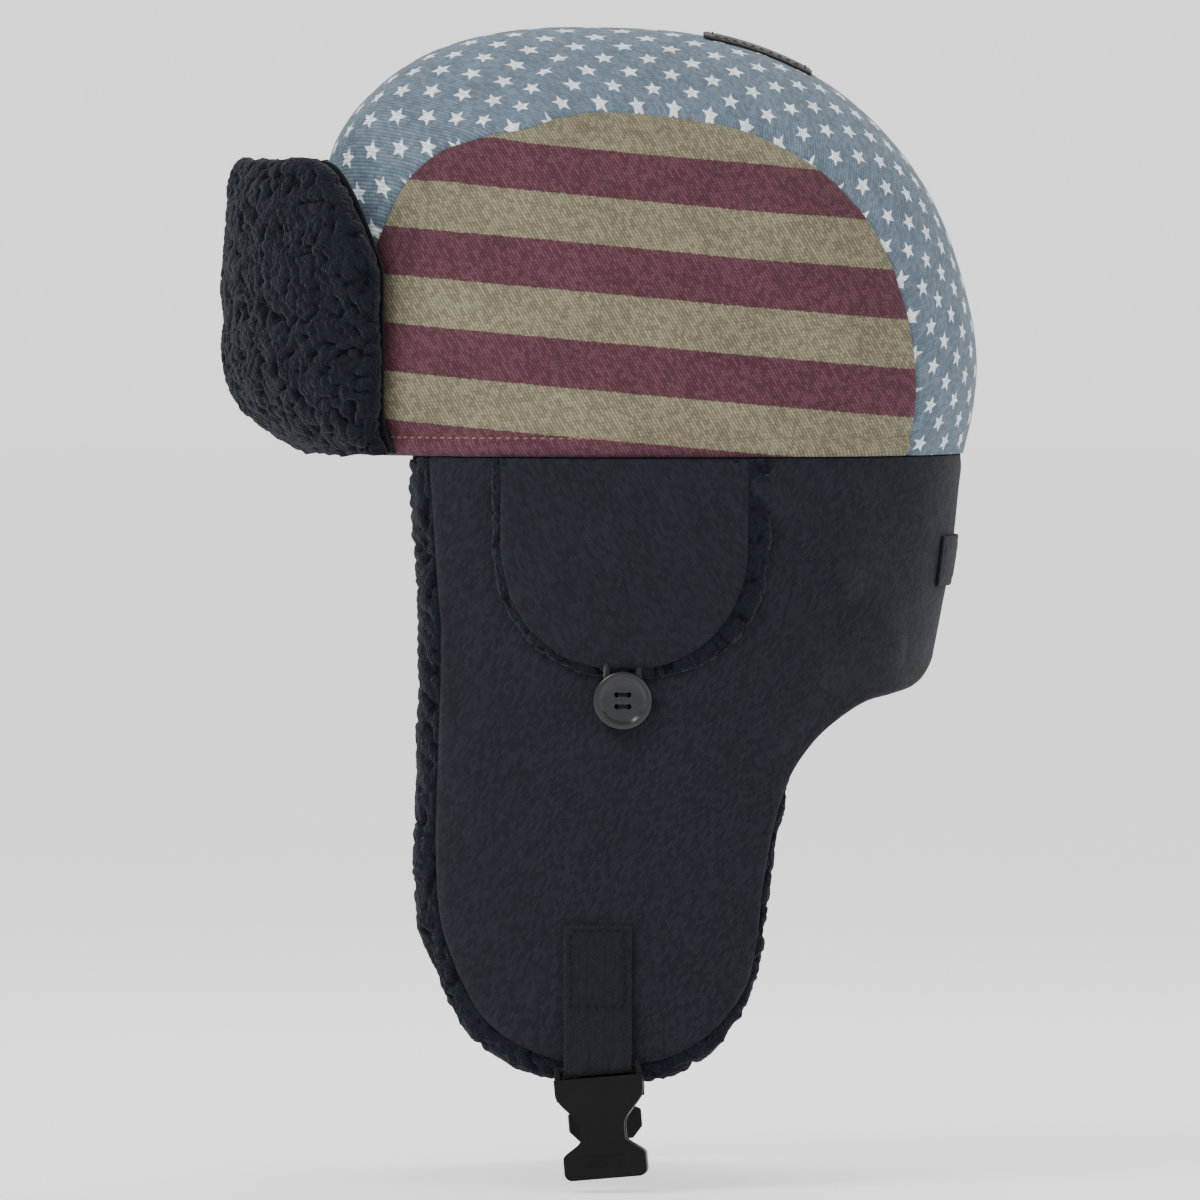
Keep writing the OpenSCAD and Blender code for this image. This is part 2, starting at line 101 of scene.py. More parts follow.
class HatSizes(bpy.types.PropertyGroup):
    crown_length: length("Crown length", 0.224, "Front to back, outside")
    crown_width: length("Crown width", 0.172, "Side to side, outside")
    crown_height: length("Crown height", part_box("crown_centre_panel")[1].z, "From the seam to the top")
    crown_lean: length("Crown lean", 0.020, "How far the crown's top leans forward")
    centre_width: length("Centre panel width", 0.100, "Width of the starred panel")
    cloth: length("Cloth", 0.0012, "Thickness of the twill")
    fleece: length("Fleece", 0.0095, "Thickness of the sherpa")
    flap_length: length("Flap length", 0.205, "From the seam to the ear flap's end")
    flap_flare: length("Flap flare", 0.014, "How far the ear flap's end stands out")
    neck_drop: length("Neck drop", 0.080, "Depth of the neck flap")
    neck_lean: length("Neck lean", 0.012, "How far the neck flap's end leans in")
    visor_height: length("Visor height", 0.100, "Height of the turned-up visor")
    visor_reach: length("Visor reach", 0.041, "How far the visor stands out in front")
    tab_width: length("Ear tab width", 0.084, "Width of the tab over the ear")
    tab_drop: length("Ear tab drop", 0.0716, "Length of the tab below the seam")
    button_diameter: length("Button", 0.020, "Outside diameter of the button")
    cord_diameter: length("Elastic cord", 0.002, "Diameter of the ear tab's loop")
    webbing_width: length("Webbing width", 0.023, "Width of the chin strap")
    webbing: length("Webbing", 0.0011, "Thickness of the chin strap")
    star: length("Star", 0.0033, "From the middle of a printed star to its points")
    star_row: length("Star rows", 0.00775, "From one row of stars to the next")
    star_step: length("Star spacing", 0.0140, "From star to star along a row")
    stripe: length("Stripes", 0.033, "Height of one light and one dark stripe")
    twill: length("Twill", 0.00105, "From one diagonal rib of the twill to the next")
    curl: length("Sherpa curl", 0.0033, "Size of one curl of the sherpa")


class HatColours(bpy.types.PropertyGroup):
    khaki: colour("Khaki", 107, 102, 83, "Light stripes")
    maroon: colour("Maroon", 75, 44, 52, "Dark stripes")
    denim: colour("Star field", 87, 101, 113, "Ground of the starred panel")
    print_white: colour("Stars", 207, 211, 215, "Printed stars")
    navy: colour("Navy twill", 20, 21, 29, "Flaps, ear tabs and visor back")
    sherpa: colour("Sherpa", 15, 18, 25, "Fleece facing")
    topstitch: colour("Topstitch", 124, 83, 64, "Thread along the crown's hem")
    dark_thread: colour("Dark thread", 16, 17, 22, "Thread on the flaps, straps and button")
    webbing: colour("Webbing", 21, 23, 30, "Chin strap")
    plastic: colour("Buckle", 10, 10, 10, "Moulded plastic")
    button: colour("Button", 9, 10, 14, "Polished button")
    leather: colour("Leather", 22, 18, 17, "Patch on the crown")
    lining: colour("Lining", 36, 42, 58, "Quilted satin inside the crown")
    label: colour("Label", 226, 226, 222, "Blank woven label")
    batting: colour("Batting", 74, 75, 80, "Padding inside the crown")


# ---- Numbers and noise ----
def power(base, exponent):
    return np.power(np.maximum(base, 0.0), exponent)


def mix(a, b, t):
    return a + (b - a) * t


def smooth(t):
    t = np.clip(t, 0.0, 1.0)
    return t * t * (3 - 2 * t)


def lattice(i, j, k, seed):
    """A repeatable value from 0 to 1 for each whole-number point."""
    mask = 0xFFFFFFFF
    n = (i * 73856093) ^ (j * 19349663) ^ (k * 83492791) ^ (seed * 26544357)
    n = ((n & mask) ^ ((n & mask) >> 15)) * 668265263 & mask
    n = (n ^ (n >> 13)) * 374761393 & mask
    return ((n ^ (n >> 16)) & 0xFFFF) / 65535.0


def ripple(p, size, seed=0):
    """Smooth noise from -1 to 1 whose bumps are about size across."""
    q = np.asarray(p, float) / size
    low = np.floor(q).astype(np.int64)
    f = smooth(q - low)
    total = 0.0
    for dx in (0, 1):
        for dy in (0, 1):
            for dz in (0, 1):
                w = np.ones(q.shape[:-1])
                for axis, step in enumerate((dx, dy, dz)):
                    w = w * (f[..., axis] if step else 1 - f[..., axis])
                total = total + w * lattice(
                    low[..., 0] + dx, low[..., 1] + dy, low[..., 2] + dz, seed
                )
    return 2 * total - 1


def cells(p, size, seed=0):
    """The distance to the nearest of scattered points about size apart, in sizes."""
    q = np.asarray(p, float) / size
    low = np.floor(q).astype(np.int64)
    best = np.full(q.shape[:-1], 9.0)
    for dx in (-1, 0, 1):
        for dy in (-1, 0, 1):
            for dz in (-1, 0, 1):
                i, j, k = low[..., 0] + dx, low[..., 1] + dy, low[..., 2] + dz
                at = np.stack([c + lattice(i, j, k, seed + n) for n, c in enumerate((i, j, k))], -1)
                best = np.minimum(best, ((at - q) ** 2).sum(-1))
    return np.sqrt(best)


def curve(points, count):
    """count points, evenly spaced, on a smooth curve through the given ones."""
    p = np.array(points, float)
    ends = np.vstack([2 * p[0] - p[1], p, 2 * p[-1] - p[-2]])
    t = np.linspace(0, len(p) - 1, 60 * (len(p) - 1) + 1)
    i = np.minimum(t.astype(int), len(p) - 2)
    f = (t - i)[:, None]
    a, b, c, d = ends[i], ends[i + 1], ends[i + 2], ends[i + 3]
    q = 0.5 * (2 * b + (c - a) * f + (2 * a - 5 * b + 4 * c - d) * f**2
               + (3 * b - a - 3 * c + d) * f**3)
    return evenly(q, count)


def travel(line):
    """The distance along a line of points, from its start to each of them."""
    return np.concatenate([[0], np.cumsum(np.linalg.norm(np.diff(line, axis=0), axis=1))])


def evenly(line, count):
    """count points, evenly spaced, along a line of points."""
    s = travel(line)
    at = np.linspace(0, s[-1], count)
    return np.stack([np.interp(at, s, line[:, k]) for k in range(line.shape[1])], 1)


def between_edges(top, low, first, last):
    """A grid of points inside four edges that meet at the corners."""
    u = np.linspace(0, 1, len(top))[None, :, None]
    v = np.linspace(0, 1, len(first))[:, None, None]
    return ((1 - v) * top[None] + v * low[None] + (1 - u) * first[:, None] + u * last[:, None]
            - (1 - u) * (1 - v) * top[0] - u * (1 - v) * top[-1]
            - (1 - u) * v * low[0] - u * v * low[-1])


def away(points, line):
    """The distance of each point from a line of points."""
    best = np.full(points.shape[:-1], 1e9)
    for a, b in zip(line[:-1], line[1:]):
        edge = b - a
        t = np.clip(((points - a) @ edge) / max(edge @ edge, 1e-12), 0, 1)
        best = np.minimum(best, np.linalg.norm(points - a - t[..., None] * edge, axis=-1))
    return best


def within(points, loop):
    """Whether each flat point is inside a closed loop."""
    hit = np.zeros(points.shape[:-1], bool)
    for a, b in zip(loop, np.roll(loop, -1, axis=0)):
        if a[1] == b[1]:
            continue
        crosses = (a[1] > points[..., 1]) != (b[1] > points[..., 1])
        at = a[0] + (points[..., 1] - a[1]) / (b[1] - a[1]) * (b[0] - a[0])
        hit ^= crosses & (points[..., 0] < at)
    return hit


def stack(x, y, z):
    return np.stack(np.broadcast_arrays(x, y, z), -1)


def spread(cols, rows):
    """Two grids for a panel: from -1 to 1 along each row, and from 0 to 1 down each column."""
    return np.broadcast_arrays(np.linspace(-1, 1, cols + 1)[None, :],
                               np.linspace(0, 1, rows + 1)[:, None])


def turned(gap, width):
    """How far a rounded edge of that width has turned in, from 1 at its rim to 0 at width away."""
    return 1 - np.sqrt(1 - np.clip(1 - gap / width, 0, 1) ** 2)


def ridge(gap, width):
    """A soft ridge, 1 where gap is none."""
    return np.exp(-((gap / width) ** 2))


# ---- The hat's surfaces, in millimetres: a depth is measured in from the cloth's outer face ----
class Shape:
    PLAN, SIDE = 2.2, 2.7
    LAYER, SEAM = 0.3, 0.4
    # Half the starred panel's width at angles over the top, less than its widest, in millimetres
    STRIP = [(0, -6), (25, -9.5), (40, -9), (55, -5), (65, -0.5), (74, 2.5), (85, 0.4), (100, 1.3),
             (128, -0.2), (150, 1.8), (165, 2), (180, -0.3)]

    def __init__(self, sizes):
        for name in sizes.__annotations__:
            setattr(self, name, getattr(sizes, name) / MM)
        self.hem_a = self.crown_length / 2 * 0.95
        self.hem_b = self.crown_width / 2 * 0.95
        self.edge = self.centre_width / 2
        turns = np.radians(np.linspace(90, -90, 1801))
        x, y = self.plan(turns, self.hem_b, self.hem_a)
        self.hem_s = np.concatenate([[0], np.cumsum(np.hypot(np.diff(x), np.diff(y)))])
        self.hem_turn, self.hem_y = turns, y
        self.strip = curve(self.STRIP, 240)
        s = np.linspace(0, 180, 721)
        rim = self.centre(self.strip_half(s) + 0.15, s, 0)
        rim[:, 1] -= self.lean_y(rim[:, 2])
        top = int(np.argmax(rim[:, 2]))
        self.rim_front, self.rim_rear, self.rim_top = rim[: top + 1], rim[top:][::-1], rim[top, 2]
        self.button_y = -10.0
        self.button_z = -self.tab_drop - self.SEAM - self.button_diameter / 2
        self.strap_y = -18.5
        self.strap_z = -187.0
        self.lean = math.radians(13)
        strap_x = self.flap_x(self.strap_y, self.strap_z, -self.LAYER - self.webbing)
        slope = (self.hem_x(self.strap_y + 1, 0) - self.hem_x(self.strap_y - 1, 0)) / 2
        free = 19.0
        self.bar = np.array([strap_x + free * math.sin(self.lean), self.strap_y,
                             self.strap_z - free * math.cos(self.lean)])
        turn, tilt = -math.atan(slope), math.radians(5)
        self.bar_axes = np.array([
            [math.cos(turn), math.sin(turn), 0],
            [-math.sin(turn) * math.cos(tilt), math.cos(turn) * math.cos(tilt), math.sin(tilt)],
            [math.sin(turn) * math.sin(tilt), -math.cos(turn) * math.sin(tilt), math.cos(tilt)],
        ])

    def plan(self, turn, half_w, half_l):
        e = 2 / self.PLAN
        c, s = np.cos(turn), np.sin(turn)
        return (np.sign(c) * half_w * np.abs(c) ** e, np.sign(s) * half_l * np.abs(s) ** e)

    def tuck(self, z):
        return 1 - 0.05 * power(1 - z / 40, 2)

    def half_len(self, z, d):
        return ((self.crown_length / 2 * self.tuck(z) - d)
                * power(1 - power(z / (self.crown_height - d), self.SIDE), 1 / self.SIDE))

    def half_wid(self, z, d):
        return ((self.crown_width / 2 * self.tuck(z) - d)
                * power(1 - power(z / (self.crown_height - d), 2), 0.5))

    def lean_y(self, z):
        return -self.crown_lean * power(z / self.crown_height, 3)

    def across(self, v, own, other):
        return other * power(1 - power(np.abs(v) / np.maximum(own, 0.001), self.PLAN), 1 / self.PLAN)

    def centre(self, x, s, d):
        """The starred panel: x across, and s from 0 at the front, over the top, to 180."""
        z = ((self.crown_height - d) * np.sqrt(1 - (x / (self.crown_width / 2 - d)) ** 2)
             * np.sin(np.radians(s)))
        y = self.lean_y(z) - np.sign(90 - s) * self.across(x, self.half_wid(z, d), self.half_len(z, d))
        return stack(x, y, z)

    def side(self, v, t, d):
        """The left striped panel: v from -1 at the front to 1, and t from the seam to the top."""
        z0 = 0.997 * self.rim_top * np.sin(np.pi / 2 * t)
        front = np.interp(z0, self.rim_front[:, 2], self.rim_front[:, 1])
        rear = np.interp(z0, self.rim_rear[:, 2], self.rim_rear[:, 1])
        y0 = mix(front, rear, (v + 1) / 2)
        z = z0 * (self.crown_height - d) / self.crown_height
        y = y0 * self.half_len(z, d) / self.half_len(z0, 0)
        return stack(self.across(y, self.half_len(z, d), self.half_wid(z, d)), self.lean_y(z) + y, z)

    def strip_half(self, s):
        """Half the starred panel's width at an angle over the top."""
        return self.edge + np.interp(s, self.strip[:, 0], self.strip[:, 1])

    def band(self, turn, z, d):
        x, y = self.plan(turn, self.half_wid(z, d), self.half_len(z, d))
        return stack(x, y, z)

    def hem_x(self, y, d):
        return self.across(y, self.hem_a - d, self.hem_b - d)

    def flare(self, z):
        return self.flap_flare * power(-z / self.flap_length, 1.5)

    def flap_x(self, y, z, d):
        return self.hem_x(y, d) + self.flare(z)

    def ear(self, y, z, d):
        return stack(self.flap_x(y, z, d), y, z)

    def neck(self, turn, z, d):
        scale = 1 - (mix(-self.flare(-self.neck_drop), self.neck_lean, np.sin(turn) ** 2)
                     * power(-z / self.neck_drop, 1.5) / self.hem_a)
        x, y = self.plan(turn, self.hem_b - d, self.hem_a - d)
        return stack(x * scale, y * scale, z)

    def skirt(self, s, z, d):
        """The cloth below the seam: s along the seam from the centre back, towards the front."""
        turn = np.interp(s, self.hem_s, self.hem_turn)
        y = np.interp(s, self.hem_s, self.hem_y)
        share = smooth((y - 12) / 46)[..., None]
        return mix(self.ear(y, z, d), self.neck(turn, z, d), share)

    def visor(self, v, t, d):
        """The visor: v across from -1 to 1, t up from 0 to 1, and d behind its sherpa face."""
        top = self.visor_height * (1 - 0.37 * power((np.abs(v) - 0.7) / 0.3, 2))
        z = mix(0.8, top, t)
        out = 12.5 - d
        turn = np.radians(68) * v
        foot_x = (53 + 0.55 * out) * np.sin(turn) / math.sin(math.radians(68))
        foot_z = np.minimum(z, 40)
        foot_y = self.lean_y(foot_z) - self.across(
            foot_x, self.half_wid(foot_z, -out), self.half_len(foot_z, -out))
        centre = 0.4 * self.hem_a + self.visor_reach
        face_x = (self.hem_b * 0.86 - d) * np.sin(turn)
        face_y = -self.hem_a - self.visor_reach + centre - (centre - d) * np.cos(turn)
        h = z / self.visor_height
        swell = 1 - power(1 - h / 0.32, 2) - 0.14 * power(h - 0.59, 2) / 0.41**2
        return stack(mix(foot_x, face_x, swell), mix(foot_y, face_y, swell), z)

    def tab(self, u, t, d, grow=0.0, rear=0.0):
        """The left ear tab: u across from -1 to 1, t down from 0 to 1."""
        round_h = 0.61 * self.tab_drop + grow
        straight = self.tab_drop + grow - round_h
        a = np.clip((t - 0.36) / 0.64, 0, 1)
        rounded = -straight - round_h * np.sin(np.pi / 2 * a)
        z = np.where(t < 0.36, mix(-0.8, -straight, t / 0.36), rounded)
        half = (self.tab_width / 2 + grow) * power(1 - power((-z - straight) / round_h, 2.2), 1 / 2.2)
        half = np.maximum(half, 0.4)
        y = -9.5 + u * half + rear * np.where(u > 0, u, 0)
        d = mix(d * 0.15, d, smooth(-z / 16))
        return self.ear(y, z, d)

    def on_bar(self, points):
        """Points in the bar's own frame, x out, y along it and z up, as points of the hat."""
        return np.asarray(points) @ self.bar_axes + self.bar


# ---- Meshes ----
def sheet_between(outer, inner):
    """The vertices and faces of a closed sheet between two grids of points."""
    rows, cols = outer.shape[:2]
    n = rows * cols
    k = np.arange(n).reshape(rows, cols)
    a, b, c, d = k[:-1, :-1], k[1:, :-1], k[1:, 1:], k[:-1, 1:]
    front = np.stack([a, b, c, d], -1).reshape(-1, 4)
    back = np.stack([a, d, c, b], -1).reshape(-1, 4) + n
    rim = np.concatenate([k[0, :-1], k[:-1, -1], k[-1, :0:-1], k[:0:-1, 0]])
    after = np.roll(rim, -1)
    sides = np.stack([rim, after, after + n, rim + n], -1)
    points = np.vstack([outer.reshape(-1, 3), inner.reshape(-1, 3)])
    return points, np.vstack([front, back, sides])


def outward(points, faces):
    """The faces, turned round if their normals point in."""
    a, b, c, d = (points[faces[:, i]] for i in range(4))
    volume = (a * np.cross(b, c)).sum() + (a * np.cross(c, d)).sum()
    return faces if volume > 0 else faces[:, ::-1]


def normals(points, faces):
    total = np.zeros_like(points)
    n = np.cross(points[faces[:, 2]] - points[faces[:, 0]], points[faces[:, 3]] - points[faces[:, 1]])
    for i in range(4):
        np.add.at(total, faces[:, i], n)
    return total / np.maximum(np.linalg.norm(total, axis=1), 1e-9)[:, None]


def piece(name, parts, side, paint):
    """An object from (points, faces, uv, shade) parts in millimetres: side -1 is the mirror image."""
    points, faces, uvs, shades, start = [], [], [], [], 0
    for p, f, uv, shade in parts:
        p = np.array(p, float)
        p[:, 0] *= side
        f = outward(p, np.array(f)) + start
        points.append(p)
        faces.append(f)
        uvs.append(np.zeros((len(p), 2)) if uv is None else uv)
        shades.append(np.ones(len(p)) if shade is None else shade)
        start += len(p)
    points, faces = np.vstack(points) * MM, np.vstack(faces)
    mesh = bpy.data.meshes.new(name)
    mesh.from_pydata(points, [], faces.tolist())
    index = np.empty(len(mesh.loops), np.int64)
    mesh.loops.foreach_get("vertex_index", index)
    mesh.uv_layers.new(name="cloth").data.foreach_set(
        "uv", (np.vstack(uvs) * MM)[index].astype(np.float32).ravel())
    # The "shade" attribute carries painted shade: the sherpa's paint darkens its colour where the value
    # is low.
    mesh.attributes.new("shade", "FLOAT", "POINT").data.foreach_set(
        "value", np.concatenate(shades).astype(np.float32))
    mesh.shade_smooth()
    return placed(name, mesh, paint)


def placed(name, mesh, paint):
    obj = bpy.data.objects.new(name, mesh)
    bpy.context.scene.collection.objects.link(obj)
    obj.data.materials.append(paint)
    return obj


def cloth_part(outer, inner, u, v, shade=None):
    """A closed sheet with its cloth measured along u and v."""
    p, f = sheet_between(outer, inner)
    uv = np.stack(np.broadcast_arrays(u, v), -1).reshape(-1, 2)
    both = None if shade is None else np.tile(np.asarray(shade).ravel(), 2)
    return p, f, np.vstack([uv, uv]), both


def sherpa_part(outer, inner, h, free=None, height=2.0, size=None):
    """A closed sheet of curled pile: free is how freely each point of its outer face curls."""
    p, f = sheet_between(outer, inner)
    f = outward(p, f)
    size = size or h.curl
    n = normals(p, f)
    rows, cols = outer.shape[:2]
    loose = np.ones(len(p))
    if free is not None:
        loose[: rows * cols] = free.ravel()
    twist = stack(*(ripple(p, size * 1.7, 11 + i) for i in range(3))) * size * 0.9
    near = cells(p + twist, size, 3)
    curls = np.sqrt(np.clip(1 - (near / 0.82) ** 2, 0, 1))
    lump = ripple(p, size * 2.8, 21)
    rise = curls - 0.6 + 0.45 * lump
    # The last value, kept as the mesh's "shade" attribute, is low in the curls' valleys; the sherpa's
    # paint darkens its colour there: painted shade.
    return p + n * (rise * height * loose)[:, None], f, None, np.clip(0.25 + 0.75 * curls, 0, 1)


def tube(line, radius, around=10, squash=1.0):
    """A closed tube along a line of points."""
    line = np.asarray(line, float)
    along = np.gradient(line, axis=0)
    along /= np.linalg.norm(along, axis=1)[:, None]
    side = np.cross(along, [0.31, 0.17, 0.93])
    side /= np.linalg.norm(side, axis=1)[:, None]
    up = np.cross(along, side)
    a = np.linspace(0, 2 * np.pi, around, endpoint=False)
    r = np.broadcast_to(radius, len(line))[:, None, None]
    ring = (line[:, None] + r * (np.cos(a)[None, :, None] * side[:, None]
                                 + squash * np.sin(a)[None, :, None] * up[:, None]))
    k = np.arange(len(line) * around).reshape(len(line), around)
    nxt = np.roll(k, -1, axis=1)
    faces = np.stack([k[:-1], k[1:], nxt[1:], nxt[:-1]], -1).reshape(-1, 4)
    caps = []
    n = len(line) * around
    points = np.vstack([ring.reshape(-1, 3), line[:1], line[-1:]])
    for row, tip in ((k[0], n), (k[-1], n + 1)):
        for i in range(0, around, 2):
            caps.append([tip, row[i], row[(i + 1) % around], row[(i + 2) % around]])
    caps = np.array(caps)
    caps[: around // 2] = caps[: around // 2, ::-1]
    s = travel(line)
    uv = stack(np.broadcast_to(a * np.max(radius), (len(line), around)), s[:, None], 0)[..., :2]
    uv = np.vstack([uv.reshape(-1, 2), [[0, 0], [0, s[-1]]]])
    return points, np.vstack([faces, caps]), uv, None


def stitches(line, facing, dash=2.3, gap=1.0, radius=0.32, sink=0.1):
    """Thread dashes along a line of points that lie on a face with the given normals."""
    s = travel(line)
    parts = []
    for i in range(int(s[-1] / (dash + gap))):
        at = i * (dash + gap) + gap / 2 + dash * np.linspace(0, 1, 7)
        spot = np.stack([np.interp(at, s, line[:, k]) for k in range(3)], 1)
        n = np.stack([np.interp(at, s, facing[:, k]) for k in range(3)], 1)
        bow = np.sin(np.linspace(0, np.pi, 7))
        spot = spot + n * ((radius * 1.1 * bow - sink - radius * 0.3)[:, None])
        parts.append(tube(spot, radius * (0.55 + 0.45 * bow), 6))
    return parts


def face_line(surface, u, v, d=0.0, step=0.02):
    """Points and outward normals along a line on a surface(u, v, depth)."""
    p = surface(u, v, d)
    out = p - surface(u, v, d + step * 10)
    return p, out / np.maximum(np.linalg.norm(out, axis=-1), 1e-9)[..., None]


def crease(p, a, b, width, height):
    """A fold of that height along the line from a to b, fading at its ends."""
    a, b = np.array(a, float), np.array(b, float)
    t = ((p - a) @ (b - a)) / ((b - a) @ (b - a))
    near = np.linalg.norm(p - (a + np.clip(t, 0, 1)[..., None] * (b - a)), axis=-1)
    return height * ridge(near, width) * smooth(4 * t + 0.4) * smooth(4 * (1 - t) + 0.4)


def creases(p, folds):
    return sum(crease(p, *fold) for fold in folds)


# ---- Shader building ----
class Wires:
    """Adds nodes to a tree: a value is a number, a colour or another node's output."""

    def __init__(self, tree):
        self.tree = tree

    def put(self, socket, value):
        if isinstance(value, bpy.types.NodeSocket):
            self.tree.links.new(value, socket)
        else:
            socket.default_value = value

    def node(self, kind, values=None, **settings):
        n = self.tree.nodes.new("ShaderNode" + kind)
        for key, value in settings.items():
            setattr(n, key, value)
        for key, value in (values or {}).items():
            self.put(n.inputs[key], value)
        return n

    def math(self, operation, *values):
        n = self.node("Math", operation=operation)
        for i, value in enumerate(values):
            self.put(n.inputs[i], value)
        return n.outputs[0]

    def add(self, a, b):
        return self.math("ADD", a, b)

    def minus(self, a, b):
        return self.math("SUBTRACT", a, b)

    def times(self, a, b):
        return self.math("MULTIPLY", a, b)

    def over(self, a, b):
        return self.math("DIVIDE", a, b)

    def whole(self, a):
        return self.math("FLOOR", a)

    def zigzag(self, a, size):
        return self.math("PINGPONG", a, size)

    def stretched(self, vector, *by):
        """A vector, each of its parts times its own number."""
        n = self.node("VectorMath", operation="MULTIPLY")
        self.put(n.inputs[0], vector)
        self.put(n.inputs[1], by)
        return n.outputs[0]

    def scaled(self, vector, by):
        return self.node("VectorMath", {0: vector, 3: by}, operation="SCALE").outputs[0]

    def parts(self, vector):
        return self.node("SeparateXYZ", {0: vector}).outputs

    def mix(self, factor, a, b, blend="MIX"):
        n = self.node("Mix", data_type="RGBA", blend_type=blend)
        for index, value in ((0, factor), (6, a), (7, b)):
            if index and not isinstance(value, bpy.types.NodeSocket):
                value = (*value[:3], 1)
            self.put(n.inputs[index], value)
        return n.outputs[2]

    def fade(self, value, low, high, to_low=0.0, to_high=1.0):
        return self.node(
            "MapRange", {"Value": value, "From Min": low, "From Max": high,
                         "To Min": to_low, "To Max": to_high},
            interpolation_type="SMOOTHSTEP").outputs[0]

    def noise(self, vector, scale, detail=2.0):
        return self.node("TexNoise", {"Vector": vector, "Scale": scale, "Detail": detail}).outputs[0]

    def uv(self):
        return self.node("UVMap", uv_map="cloth").outputs[0]

    def spot(self):
        return self.node("TexCoord").outputs["Object"]

    def group(self, tree, **values):
        n = self.node("Group", node_tree=tree)
        for key, value in values.items():
            self.put(n.inputs[key.replace("_", " ").capitalize()], value)
        return n.outputs


def shader_group(name, inputs, outputs, build):
    """A node group, built once: build(wires, inputs) gives the outputs in order."""
    tree = bpy.data.node_groups.get(name)
    if tree is None:
        tree = bpy.data.node_groups.new(name, "ShaderNodeTree")
        for label, value in inputs.items():
            kind = "NodeSocketVector" if value is None else "NodeSocketFloat"
            socket = tree.interface.new_socket(label, in_out="INPUT", socket_type=kind)
            if value is not None:
                socket.default_value = value
        for label in outputs:
            tree.interface.new_socket(label, in_out="OUTPUT", socket_type="NodeSocketFloat")
        first, last = tree.nodes.new("NodeGroupInput"), tree.nodes.new("NodeGroupOutput")
        for value, socket in zip(build(Wires(tree), first.outputs), last.inputs):
            tree.links.new(value, socket)
    return tree


def twill_group():
    """Diagonal ribs of yarn with flecks of lighter and darker thread."""
    def build(w, i):
        part = w.parts(i["Vector"])
        x, y = (w.over(part[k], i["Pitch"]) for k in (0, 1))
        sway = w.noise(w.stretched(i["Vector"], 150, 150, 0), 1.0, 1.0)
        across = w.add(w.times(x, 0.866), w.times(y, 0.5))
        across = w.add(across, w.times(sway, 0.25))
        rib = w.zigzag(across, 0.5)
        along = w.add(w.times(x, -0.5), w.times(y, 0.866))
        row = w.times(w.whole(across), 0.37)
        yarn = w.zigzag(w.add(w.times(along, 0.8), row), 0.5)
        height = w.add(w.times(rib, 1.4), w.times(yarn, 0.6))
        strand = w.whole(across)
        shift = w.node("TexWhiteNoise", {"W": strand}, noise_dimensions="1D").outputs[0]
        dash = w.whole(w.add(w.times(along, 0.6), w.times(shift, 9.0)))
        place = w.node("CombineXYZ", {0: strand, 1: dash}).outputs[0]
        yarns = w.node("TexWhiteNoise", {"Vector": place}, noise_dimensions="2D").outputs[0]
        cloud = w.noise(w.stretched(i["Vector"], 1100, 1100, 0), 1.0, 2.0)
        fleck = w.add(w.times(yarns, 0.55), w.times(cloud, 0.45))
        worn = w.noise(w.stretched(i["Vector"], 38, 38, 0), 1.0, 4.0)
        return height, fleck, worn
    return shader_group("Twill weave", {"Vector": None, "Pitch": 0.0009},
                        ("Height", "Fleck", "Worn"), build)


def star_group():
    """Rows of five-pointed stars, each row half a step from the next."""
    def build(w, i):
        part = w.parts(i["Vector"])
        row = w.over(part[1], i["Row"])
        number = w.whole(row)
        odd = w.zigzag(number, 1.0)
        column = w.add(w.over(part[0], i["Step"]), w.times(odd, 0.5))
        px = w.times(w.minus(w.math("FRACT", column), 0.5), i["Step"])
        py = w.times(w.minus(w.math("FRACT", row), 0.5), i["Row"])
        seed = w.node("CombineXYZ", {0: w.whole(column), 1: number}).outputs[0]
        skew = w.node("TexWhiteNoise", {"Vector": seed}, noise_dimensions="2D").outputs[0]
        angle = w.add(w.math("ARCTAN2", px, py),
                       w.times(w.minus(skew, 0.5), 0.35))
        reach = w.math("SQRT", w.add(w.times(px, px), w.times(py, py)))
        turn = w.zigzag(angle, math.pi / 5)
        inner, point = 0.45, math.pi / 5
        nx, ny = inner * math.sin(point), 1 - inner * math.cos(point)
        side = w.add(w.times(w.math("COSINE", turn), nx),
                      w.times(w.math("SINE", turn), ny))
        level = w.over(w.times(reach, side), w.times(i["Radius"], nx))
        frayed = w.noise(w.stretched(i["Vector"], 1500, 1500, 0), 1.0, 2.0)
        level = w.add(level, w.times(w.minus(frayed, 0.5), 0.45))
        return (w.fade(level, 0.90, 1.10, 1.0, 0.0),)
    return shader_group("Star print", {"Vector": None, "Radius": 0.0033, "Row": 0.00775, "Step": 0.014},
                        ("Mask",), build)


def stripe_group():
    """Printed stripes that fall a little from front to back."""
    def build(w, i):
        part = w.parts(i["Vector"])
        bleed = w.noise(w.stretched(i["Vector"], 900, 900, 0), 1.0, 2.0)
        v = w.add(part[1], w.times(w.add(part[0], 0.089), 0.0893))
        v = w.add(v, w.times(w.minus(bleed, 0.5), 0.0012))
        share = w.math("FRACT", w.over(w.minus(v, i["Start"]), i["Pitch"]))
        return (w.fade(w.zigzag(w.minus(share, 0.25), 0.5), 0.245, 0.255, 1.0, 0.0),)
    return shader_group("Stripe print", {"Vector": None, "Pitch": 0.033, "Start": 0.0289},
                        ("Mask",), build)


def webbing_group():
    """Herringbone webbing: diagonal ribs that turn back at each of its columns."""
    def build(w, i):
        part = w.parts(i["Vector"])
        column = w.zigzag(part[0], 0.0029)
        rib = w.zigzag(w.over(w.add(column, w.times(part[1], 0.8)),
                                        i["Pitch"]), 0.5)
        fleck = w.noise(w.stretched(i["Vector"], 900, 300, 0), 1.0, 3.0)
        return w.times(rib, 2.0), fleck
    return shader_group("Herringbone webbing", {"Vector": None, "Pitch": 0.0011},
                        ("Height", "Fleck"), build)


